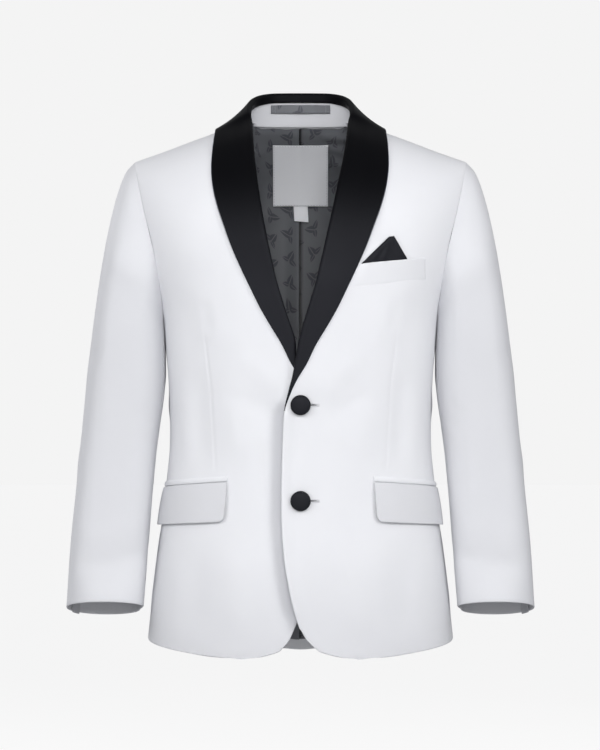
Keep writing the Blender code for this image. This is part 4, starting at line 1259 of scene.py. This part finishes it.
def makeCollar():
    for side, hand in hands:
        net = collarNet(hand > 0)
        net[-1, :, 0] = 0.0
        net = finer(net, 7, 3)
        net[-1, :, 0] = 0.0
        across, up = runs(net)
        rows, columns = across.shape
        under = np.tile(1 + (np.arange(columns - 1) > columns * collar["satinInside"]), (rows - 1, 1))
        wall = np.minimum(collar["wall"], collar["wallOfWidth"] * across[:, -1:])
        cut(
            f"satin_collar_{side}", f"collar_{side}", net, (0.3, -0.7, 0.6), collar, "satin",
            [f"front_cloth_{side}"], wall=wall, inside=("satin", "suiting"), edges="mfmf", insideOf=under,
            hand=hand, uv=(up, across), rimOf={"r": 2},
            tone=1 - (1 - collar["tone"]) * ease(net[..., 2], *collar["paintedShadeBand"]),
        )


def makeStand():
    lower, upper = (np.concatenate([line, mirrored(line[-2::-1], -1)]) for line in standLines())
    share = steps(-stand["below"], 1, 3)[:, None, None]
    points = finer(between((lower[None], upper[None]), share), 4, 10)
    face = moved(points, gridNormals(points, (0, 1, 0)), stand["wall"] / 2)
    cut("neck_stand", "collar_stand", face, (0, 1, 0), stand, "suiting", tone=stand["tone"])


makeCollar()
makeStand()

loop = {
    "halfWidth": 0.0268,
    "height": 0.0077,
    "at": 0.54,  # share of the stand's height
    "standsOff": 0.0022,
    "bow": 0.0016,
    "wall": 0.0010,
    "flat": (0.056, 0.010),
    "share": 0.77,
}


def makeLoop():
    middle = between(standLines(), loop["at"])[::-1]
    x = np.linspace(-loop["halfWidth"], loop["halfWidth"], 41)
    y, z = (np.interp(np.abs(x), middle[:, 0], middle[:, axis]) for axis in (1, 2))
    y = y - loop["standsOff"] - loop["bow"] * np.cos(x / loop["halfWidth"] * math.pi / 2)
    lines = [np.stack([x, y, z + up], axis=-1) for up in steps(-loop["height"] / 2, loop["height"] / 2, 6)]
    labelFaces["hanging_loop"] = np.array(lines)
    cut("hanging_loop", "hanger_loop", lines, (0, -1, 0), loop, "lining", ["neck_stand"])


makeLoop()
print("collar made")


backLining = {
    "wall": 0.0009,
    "aboveHem": 0.010,
    "pleatAt": 0.0012,  # from the middle towards the wearer's right
    "pleatLap": 0.0065,  # how far the left half runs on below the right one
    "pleatLift": 0.0020,
    "pleatWide": 0.016,
    "pleatEdge": (0.0002, 0.0024),
    "pleatShadowPainted": 0.08,  # painted shadow: how light the left half stays where the fold lies over it
    "inside": 0.0032,
    "seamBand": 0.010,  # near the stand the lining comes up to its seam
    "seamEnds": (0.040, 0.052),
    "insideAtSeam": 0.0006,
    "printShift": (0.0083, 0.0062),
    "flat": (0.170, 0.478),
    "share": 0.83,
    "folds": (
        (0.03, -0.11, 0.034, -0.33, 0.01, 0.0007),
        (0.06, -0.09, 0.066, -0.26, 0.012, -0.0008),
        (0.012, -0.2, 0.014, -0.44, 0.007, 0.0006),
    ),
    "left": (
        (0.018, -0.004, 0.052, -0.009, 0.003, -0.0026),
        (0.022, -0.014, 0.054, -0.022, 0.0032, -0.0022),
        (0.027, -0.027, 0.054, -0.036, 0.004, -0.002),
        (0.034, -0.048, 0.048, -0.08, 0.005, -0.0018),
    ),
    "right": (
        (0.034, -0.016, 0.056, -0.03, 0.0045, -0.0018),
        (0.04, -0.045, 0.052, -0.09, 0.0055, -0.0016),
    ),
}

labels = {
    "wall": 0.0007,
    "label_large": (0.0254, -0.0112, -0.0685),  # halfWidth, top, bottom
    "label_small": (0.0066, -0.0672, -0.0832),
    "puff": 0.0006,
    "smallTurn": 5.0,  # degrees, and how far its end curls away
    "smallLean": 0.6,
    "smallCurl": 0.0022,
    "smallSink": 0.0008,  # its top lies behind the large one
    "inside": 0.0062,
}


def makeLining():
    for side, hand in hands:
        left = hand > 0
        net = backNet()
        net[0, :, 1] -= backLining["aboveHem"] / body["fallRadius"] * 2 / math.pi
        net = finer(net, 6, 11)
        points, normals = trunk(net[..., 0], net[..., 1])
        points[:, 0, 0] = 0.0
        x, height = points[..., 0].copy(), points[..., 2]
        _, up = runs(points)
        seam = ease(up, up[-1] - backLining["seamBand"], up[-1]) * (1 - ease(x, *backLining["seamEnds"]))
        near = 1 - ease(x, 0.0, backLining["pleatWide"])
        offset = creases(x, height, backLining["folds"] + backLining[side]) * (1 - seam)
        offset = offset - between((backLining["inside"], backLining["insideAtSeam"]), seam)
        offset = offset + creases(x, height, backs["folds"])
        tone = 1.0
        if left:
            points[..., 0] -= backLining["pleatLap"] * near
            # painted shadow on the left half, beside the right half's fold
            tone = 1 - (1 - backLining["pleatShadowPainted"]) * (1 - ease(points[..., 0], *backLining["pleatEdge"]))
        else:
            points[..., 0] += backLining["pleatAt"] * near
            offset = offset - near * backLining["pleatLift"] * (1 - seam)
        face = moved(points, normals, offset)
        shifts = backLining["printShift"] if left else (0.0, 0.0)  # the halves are cut apart
        cut(
            f"back_lining_{side}", f"lining_back_{side}", face, -normals[len(net) // 2, 18], backLining,
            "lining", [f"back_cloth_{side}"], edges="fsss" if left else "fssf", hand=hand, tone=tone,
            uv=[way + shift for way, shift in zip(runs(face), shifts)],
        )


def makeLabels():
    for name, shown in (("label_large", "main_label"), ("label_small", "size_label")):
        halfWidth, top, bottom = labels[name]
        wide, tall = halfWidth * 2, top - bottom
        x, height = np.meshgrid(steps(-halfWidth, halfWidth, 30), steps(bottom, top, 30))
        points, normals = trunk(*place(np.abs(x), height, behind=True))
        normals[..., 0] *= np.where(x < 0, -1, 1)
        points = moved(points, normals, -labels["inside"])
        points[..., 0] = x
        down = (top - height) / tall
        puff = labels["puff"] * np.cos(x / wide * math.pi) * np.sin(down * math.pi)
        if name == "label_small":  # hangs from under the large one, a little askew
            puff = labels["smallCurl"] * down**2 - labels["smallSink"] * (1 - down)
            tilt = math.sin(math.radians(labels["smallTurn"]))
            points[..., 0] += tilt * (top - height) * labels["smallLean"]
            points[..., 2] -= tilt * x
        labelFaces[name] = moved(points, normals, -puff)
        look = {"wall": labels["wall"], "flat": (wide, tall)}
        cut(shown, name, labelFaces[name], (0, -1, 0), look, "label", ["back_lining_right"])


makeLining()
makeLabels()
print("lining and labels made")


flap = {
    "from": 27.0,  # degrees of turn
    "to": 82.0,
    "radius": 0.118,  # of the body there
    "top": (-0.3192, -0.3262),
    "bottom": (-0.3540, -0.3600),
    "corners": (0.0060, 0.0045),  # the front one and the hind one
    "cornerSpans": (6, 4),  # degrees with finer steps
    # painted shade: the flap is darker than the front around it, as where it tilts away from the light
    "tone": 0.87,
    "wall": 0.0015,
    "gap": 0.0006,  # to the front below
    "standsOff": 0.0018,
    "standsPower": 0.7,
    "waves": (0.0004, 0.0005),
    "waveTurns": 9.0,
    "flat": (0.113, 0.036),
}
jet = {"height": 0.0048, "gap": 0.0004, "wall": 0.0011, "flat": (0.113, 0.010), "share": 0.5}


def makeFlaps():
    wide = flap["to"] - flap["from"]
    near, far = flap["cornerSpans"]
    spans = ((0, near, 16), (near, wide - far, 56), (wide - far, wide, 12))
    columns = np.concatenate([steps(*span)[:-1] for span in spans] + [[wide]])
    columns = np.radians(columns + flap["from"])
    share = (columns - columns[0]) / (columns[-1] - columns[0])
    top, bottom = between(flap["top"], share), between(flap["bottom"], share)
    for away, corner in zip((columns - columns[0], columns[-1] - columns), flap["corners"]):
        inset = np.clip(1 - away * flap["radius"] / corner, 0, 1)
        bottom = bottom + corner * (1 - np.sqrt(1 - inset**2))
    down, up = steps(1, 0, 22)[:, None], steps(0, 1, 8)[:, None]
    for side, hand in hands:
        restsOn = [f"front_cloth_{side}", f"side_cloth_{side}"]
        points, normals = trunk(*placeAt(columns, between((top[None], bottom[None]), down)))
        lift = frontLift(points, hand > 0) + flap["gap"] + flap["wall"]
        lift = lift + flap["standsOff"] * down ** flap["standsPower"]
        lift = lift + flap["waves"][0] * np.sin(share * flap["waveTurns"] + hand) * down
        lift = lift + flap["waves"][1] * np.sin(down * math.pi)
        cut(
            f"pocket_flap_{side}", f"flap_{side}", moved(points, normals, lift), normals[10, 30], flap,
            "suiting", restsOn, inside="lining", hand=hand, tone=flap["tone"],
        )
        points, normals = trunk(*placeAt(columns, top[None] + jet["gap"] + jet["height"] * up))
        lift = frontLift(points, hand > 0) + jet["gap"] + jet["wall"] * (0.5 + 0.5 * np.sin(up * math.pi))
        cut(
            f"pocket_jet_{side}", f"jet_{side}", moved(points, normals, lift), normals[4, 30], jet,
            "suiting", restsOn[:1], edges="ffsf", hand=hand,
        )


makeFlaps()
print("hip pockets made")


breastPocket = {
    "toX": 0.1090,
    "underLapel": 0.0015,
    "freeFrom": (0.001, 0.012),  # its mouth stands free beside the lapel
    "sewnFrom": (0.098, 0.1085),  # up to there
    "top": (-0.1295, -0.1232),
    "bottom": (-0.1492, -0.1428),
    "wall": 0.0011,
    "lift": (0.0003, 0.0006, 0.0020),  # at the seam, of the roll, and of the free mouth
    "flat": (0.067, 0.0205),
}
square = {
    "leftX": 0.0527,
    "peak": (0.0765, 0.0812, -0.1056),
    "rightX": 0.0930,
    "wall": 0.0011,
    "hidden": 0.004,  # below the welt's edge
    "gap": 0.0002,
    "peakRise": 0.0008,
    "flat": (0.040, 0.027),
    "share": 0.6,
    "folds": (
        # fromX, fromHeight, toX, toHeight, width, depth
        (0.079, -0.103, 0.07, -0.129, 0.0022, 0.0009),
        (0.078, -0.105, 0.06, -0.129, 0.0018, 0.0007),
        (0.08, -0.105, 0.083, -0.129, 0.002, -0.0008),
        (0.08, -0.104, 0.09, -0.127, 0.0016, 0.0006),
    ),
}


def lapelEdgeX(height):
    rows = sorted((row[3], row[2]) for row in lapel["stations"])
    return np.interp(height, column(rows, 0), column(rows, 1))


def makeBreastPocket():
    share = steps(0, 1, 44)
    top, bottom = between(breastPocket["top"], share), between(breastPocket["bottom"], share)
    up = steps(0, 1, 14)[:, None]
    heights = between((bottom[None], top[None]), up)
    start = lapelEdgeX(heights[:, :1]) - breastPocket["underLapel"]
    x = between((start, breastPocket["toX"]), share[None])
    points, normals = trunk(*place(x, heights))
    free = (1 - ease(x, *breastPocket["sewnFrom"])) * ease(x - start, *breastPocket["freeFrom"])
    seam, roll, mouth = breastPocket["lift"]
    lift = frontLift(points, True) + seam + roll * np.sin(up * math.pi / 2) + mouth * up**1.5 * free
    under = ["front_cloth_left"]
    face = moved(points, normals, lift)
    cut("pocket_welt", "breast_welt", face, normals[7, 20], breastPocket, "suiting", under, edges="ssfs")

    x0, x1, height = square["peak"]
    hidden = square["hidden"]
    baseX = np.concatenate([steps(square["leftX"], x0, 20), steps(x1, square["rightX"], 16)])
    base = np.interp(baseX, [x[-1, 0], breastPocket["toX"]], [top[0], top[-1]]) - hidden
    corners = [square["leftX"], x0, x1, square["rightX"]]
    rims = [base[0] + hidden, height, height + square["peakRise"], base[-1] + hidden]
    peak = np.interp(baseX, corners, rims)
    heights = between((base[None], peak[None]), steps(0, 1, 26)[:, None])
    x = np.broadcast_to(baseX, heights.shape)
    points, normals = trunk(*place(x, heights))
    lift = frontLift(points, True) + square["gap"] + square["wall"]
    lift = lift + np.maximum(creases(x, heights, square["folds"]), -square["wall"] * 0.5)
    face = moved(points, normals, lift)
    cut("folded_square", "pocket_square", face, normals[10, 20], square, "satin", under)


makeBreastPocket()
print("breast pocket made")


buttons = {
    "radius": 0.0088,
    "thickness": 0.0052,
    "turns": 64,
    "gap": 0.0003,
    "profile": (
        # share of the radius, share of the thickness, from the middle of the face round to the back
        (0.0, 1.0), (0.12, 0.998), (0.25, 0.99), (0.4, 0.972), (0.55, 0.942), (0.68, 0.9),
        (0.78, 0.852), (0.86, 0.792), (0.92, 0.72), (0.97, 0.62), (1.0, 0.48), (0.995, 0.36),
        (0.96, 0.22), (0.88, 0.1), (0.76, 0.0), (0.4, 0.0), (0.0, 0.0),
    ),
}


def makeButtons():
    turns = buttons["turns"]
    angle = steps(0, math.tau, turns)[:-1]
    profile = np.array(buttons["profile"]) * (buttons["radius"], -buttons["thickness"])
    radius, up = profile[1:-1].T[:, :, None]
    rings = np.stack(np.broadcast_arrays(radius * np.cos(angle), up, radius * np.sin(angle)), axis=-1)
    ends = np.array([[[0.0, depth, 0.0]] for depth in profile[[0, -1], 1]])
    verts = np.concatenate([ends[0], rings.reshape(-1, 3), ends[1]])
    ids = 1 + np.arange(rings[..., 0].size).reshape(-1, turns)
    after = np.roll(ids, -1, axis=1)
    faces = np.stack([ids[:-1], ids[1:], after[1:], after[:-1]], axis=-1).reshape(-1, 4).tolist()
    faces += [(0, a, b) for a, b in zip(ids[0].tolist(), after[0].tolist())]
    faces += [(len(verts) - 1, b, a) for a, b in zip(ids[-1].tolist(), after[-1].tolist())]
    for node, height in frontEdge["buttonHeights"].items():
        piece = meshPiece(f"covered_{node}", verts, faces, ["satin"], verts[:, [0, 2]])
        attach(piece, "root")
        point, normal = trunk(*place(0.0, height))
        lift = frontLift(np.array([0.0, 0.0, height]), True) + buttons["gap"]
        piece.location = point + normal * float(lift)
        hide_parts(node)


makeButtons()

buttonhole = {
    "fromX": -0.0030,
    "toX": 0.0143,
    "open": 0.0010,  # half of its height at the eye, below the button
    "least": 0.00012,
    "slitAbove": 0.00010,
    "slitWall": 0.00008,
    "purl": 0.00065,  # from one stitch to the next
    "stitch": 0.0013,
    "along": (-0.0001, 0.12, 0.4, 0.75, 1.0),  # shares of a stitch, with its rise there
    "rise": (0.00010, 0.00042, 0.00050, 0.00038, 0.00002),
    "lean": 0.00012,
    "tack": 6,
    "tackFrom": 0.0003,
    "tackStep": 0.00034,
}
sewing = {
    "sides": 6,
    "radius": 0.00020,
    "taper": 0.85,  # of a strand's ends
    "label": 0.00013,
    "fromEdge": 0.0010,
    "above": 0.00008,
    "aboveLoop": 0.0001,
    "firstStep": 0.3,
    "arch": (0.0, 0.8, 1.0, 0.8, 0.0),
    "labelStitch": (0.0026, 0.0017, 0.00012),  # from one to the next, length, rise
    "loopStitch": (0.0013, 0.0011, 0.00015),
    "weltRise": (0.0010, 0.0014, 0.0015, 0.0014, 0.0010),
    "weltInset": (0.0012, 0.0008, 0.0008),  # from its foot, its mouth and its end
    "weltGap": 0.0005,
}


def threadPiece(name, lines, radius, material):
    # sewing thread, a thin round strand along each line of points
    lines = np.array(lines)
    count, sides = lines.shape[1], sewing["sides"]
    around = steps(0, math.tau, sides)[:-1, None]
    way = unit(np.gradient(lines, axis=1))
    aside = unit(np.cross(way, (0.31, 0.83, 0.47)))
    rise = np.cross(way, aside)
    thick = radius * np.sqrt(1 - sewing["taper"] * np.linspace(-1, 1, count) ** 8)
    circle = aside[:, :, None] * np.cos(around) + rise[:, :, None] * np.sin(around)
    verts = lines[:, :, None] + circle * thick[:, None, None]
    ids = np.arange(len(lines) * count * sides).reshape(len(lines), count, sides)
    after = np.roll(ids, -1, axis=2)
    faces = np.stack([ids[:, :-1], after[:, :-1], after[:, 1:], ids[:, 1:]], axis=-1)
    faces = faces.reshape(-1, 4).tolist() + ids[:, 0, ::-1].tolist() + ids[:, -1].tolist()
    piece = meshPiece(name, verts.reshape(-1, 3), faces, [material])
    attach(piece, "root")


def onFront(x, height, above=0.0):
    # points a little above the face of the front on top
    points, normals = trunk(*place(x, height))
    return moved(points, normals, frontLift(points, True) + frontOffset(x, height, True) + above)


def makeButtonholes():
    start, end = buttonhole["fromX"], buttonhole["toX"]
    rise = np.array(buttonhole["rise"])
    count = int((end - start) / buttonhole["purl"])

    def opening(share):
        return buttonhole["open"] * (1 - share**1.6) + buttonhole["least"]

    for node, height in frontEdge["buttonHeights"].items():
        which = node.split("_")[1]
        along = steps(0, 1, 30)[None]
        x = np.broadcast_to(between((start, end), along), (5, 31))
        z = height + steps(-1, 1, 4)[:, None] * opening(along)
        face = onFront(x, z, buttonhole["slitAbove"])
        name, wall = f"buttonhole_slit_{which}", buttonhole["slitWall"]
        # a thin dark sheet just over the front: painted shadow in the open slit
        slit = shell(name, face, (0, -1, 0), "slitShade", wall, edges="mmmm")
        lines = []
        for share in steps(0, 1, count):
            out = opening(share) + np.array(buttonhole["along"]) * buttonhole["stitch"]
            x = between((start, end), share) + np.linspace(0, buttonhole["lean"], 5)
            lines += [onFront(x, height + up * out, rise) for up in (1, -1)]
        for number in range(buttonhole["tack"]):
            x = np.full(5, end + buttonhole["tackFrom"] + number * buttonhole["tackStep"])
            z = height + np.linspace(-1, 1, 5) * buttonhole["stitch"]
            lines.append(onFront(x, z, rise[[0, 2, 2, 2, 0]]))
        threadPiece(f"buttonhole_stitches_{which}", lines, sewing["radius"], "whiteThread")


def runningStitches(path, step, length, rise):
    # short stitches one after the other along a line of points, standing out to the front
    run = lengths(path)
    lines = []
    for at in np.arange(step * sewing["firstStep"], run[-1] - length, step):
        where = at + np.linspace(0, length, 5)
        points = np.stack([np.interp(where, run, path[:, axis]) for axis in range(3)], axis=-1)
        points[:, 1] -= rise * np.array(sewing["arch"])
        lines.append(points)
    return lines


def makeSewing():
    lines = []
    face = labelFaces["label_large"]
    middle = face.mean(axis=(0, 1))
    for path in (face[0], face[-1], face[:, 0], face[:, -1]):
        drawn = path + unit(middle - path.mean(axis=0)) * sewing["fromEdge"]
        drawn[:, 1] -= sewing["above"]
        lines += runningStitches(drawn, *sewing["labelStitch"])
    threadPiece("label_stitches", lines, sewing["label"], "greyThread")

    lines = []
    for number in (1, 2, 3, -4, -3, -2):
        path = labelFaces["hanging_loop"][:, number] - np.array([0.0, sewing["aboveLoop"], 0.0])
        lines += runningStitches(path, *sewing["loopStitch"])
    threadPiece("loop_stitches", lines, sewing["label"], "greyThread")

    low, high, aside = sewing["weltInset"]
    height = steps(breastPocket["bottom"][1] + low, breastPocket["top"][1] - high, 10)
    x = np.full(5, breastPocket["toX"] - aside)
    rise = np.array(sewing["weltRise"])
    ends = zip(height, height[1:] - sewing["weltGap"])
    lines = [onFront(x, np.linspace(low, high, 5), rise) for low, high in ends]
    threadPiece("welt_stitches", lines, sewing["label"], "whiteThread")


makeButtonholes()
makeSewing()
print("buttons and sewing made")


studio = {
    "floorHeight": -0.80,
    "floorSize": 12.0,
    "floorGlow": 0.87,
    "floorColours": ((0.045, 0.045, 0.045), (0.055, 0.055, 0.055)),
    "background": (0.905, 0.905, 0.905),
    "roomLight": (0.37, 0.373, 0.385),  # from the front, the back and below
    "roomLightAside": (0.35, 0.353, 0.365),
    "roomLightAbove": (0.32, 0.322, 0.33),
    "lampTarget": (0.0, 0.0, -0.20),
    "lamps": (
        # name, place, watts, size of the soft box
        ("left", (-1.45, -1.35, 0.45), 10.5, 0.9),
        ("right", (1.45, -1.35, 0.45), 12.0, 0.9),
        ("front", (0.08, -2.05, 0.48), 16.8, 0.9),
        ("low", (0.0, -1.75, -0.62), 3.4, 0.8),
        ("behindLeft", (-1.5, 1.6, 0.2), 19.0, 0.7),
        ("behindRight", (0.9, 2.1, 0.2), 7.0, 0.9),
    ),
    "camera": (-0.00045, -2.5, -0.2259),
    "lens": 88.9,
}


def makeRoom():
    world = bpy.data.worlds.new("pale room")
    world.use_nodes = True
    tree = world.node_tree
    way = addNode(tree, "SeparateXYZ", {0: addNode(tree, "TexCoord").outputs["Generated"]})
    aside = math2(tree, "ABSOLUTE", way.outputs["X"])
    above = math2(tree, "MAXIMUM", way.outputs["Z"], 0.0)
    lit = mixColours(tree, aside, studio["roomLight"], studio["roomLightAside"])
    lit = mixColours(tree, above, lit, studio["roomLightAbove"])
    seen = addNode(tree, "LightPath").outputs["Is Camera Ray"]
    put(tree, tree.nodes["Background"].inputs["Color"], mixColours(tree, seen, lit, studio["background"]))
    bpy.context.scene.world = world

    finish["floor"], tree = newMaterial("pale floor")
    grain = noiseOf(tree, addNode(tree, "TexCoord").outputs["Object"], 3.0)
    values = {
        "Base Color": mixColours(tree, grain, *studio["floorColours"]),
        "Roughness": 0.95,
        "Emission Color": (1.0, 1.0, 1.0, 1.0),
        "Emission Strength": studio["floorGlow"],
    }
    for key, value in values.items():
        put(tree, tree.nodes["Principled BSDF"].inputs[key], value)
    size, z = studio["floorSize"], studio["floorHeight"]
    corners = [(-size, -size, z), (size, -size, z), (size, size, z), (-size, size, z)]
    ground = meshPiece("floor", corners, [(0, 1, 2, 3)], ["floor"])
    ground.visible_diffuse = ground.visible_glossy = False


def makeLights():
    for name, spot, watts, size in studio["lamps"]:
        light = bpy.data.lights.new(name, "AREA")
        light.shape = "DISK"
        light.size = size
        light.energy = watts
        lamp = linked(name, light)
        lamp.location = spot
        way = Vector(studio["lampTarget"]) - Vector(spot)
        lamp.rotation_euler = way.to_track_quat("-Z", "Y").to_euler()

    eye = bpy.data.cameras.new("camera")
    eye.lens = studio["lens"]
    eye.sensor_fit = "VERTICAL"
    eye.sensor_height = 24.0
    eye.clip_end = 50.0
    camera = linked("camera", eye)
    camera.location = studio["camera"]
    camera.rotation_euler = (math.radians(90), 0.0, 0.0)
    bpy.context.scene.camera = camera
    bpy.context.scene.view_settings.view_transform = "Standard"


makeRoom()
makeLights()
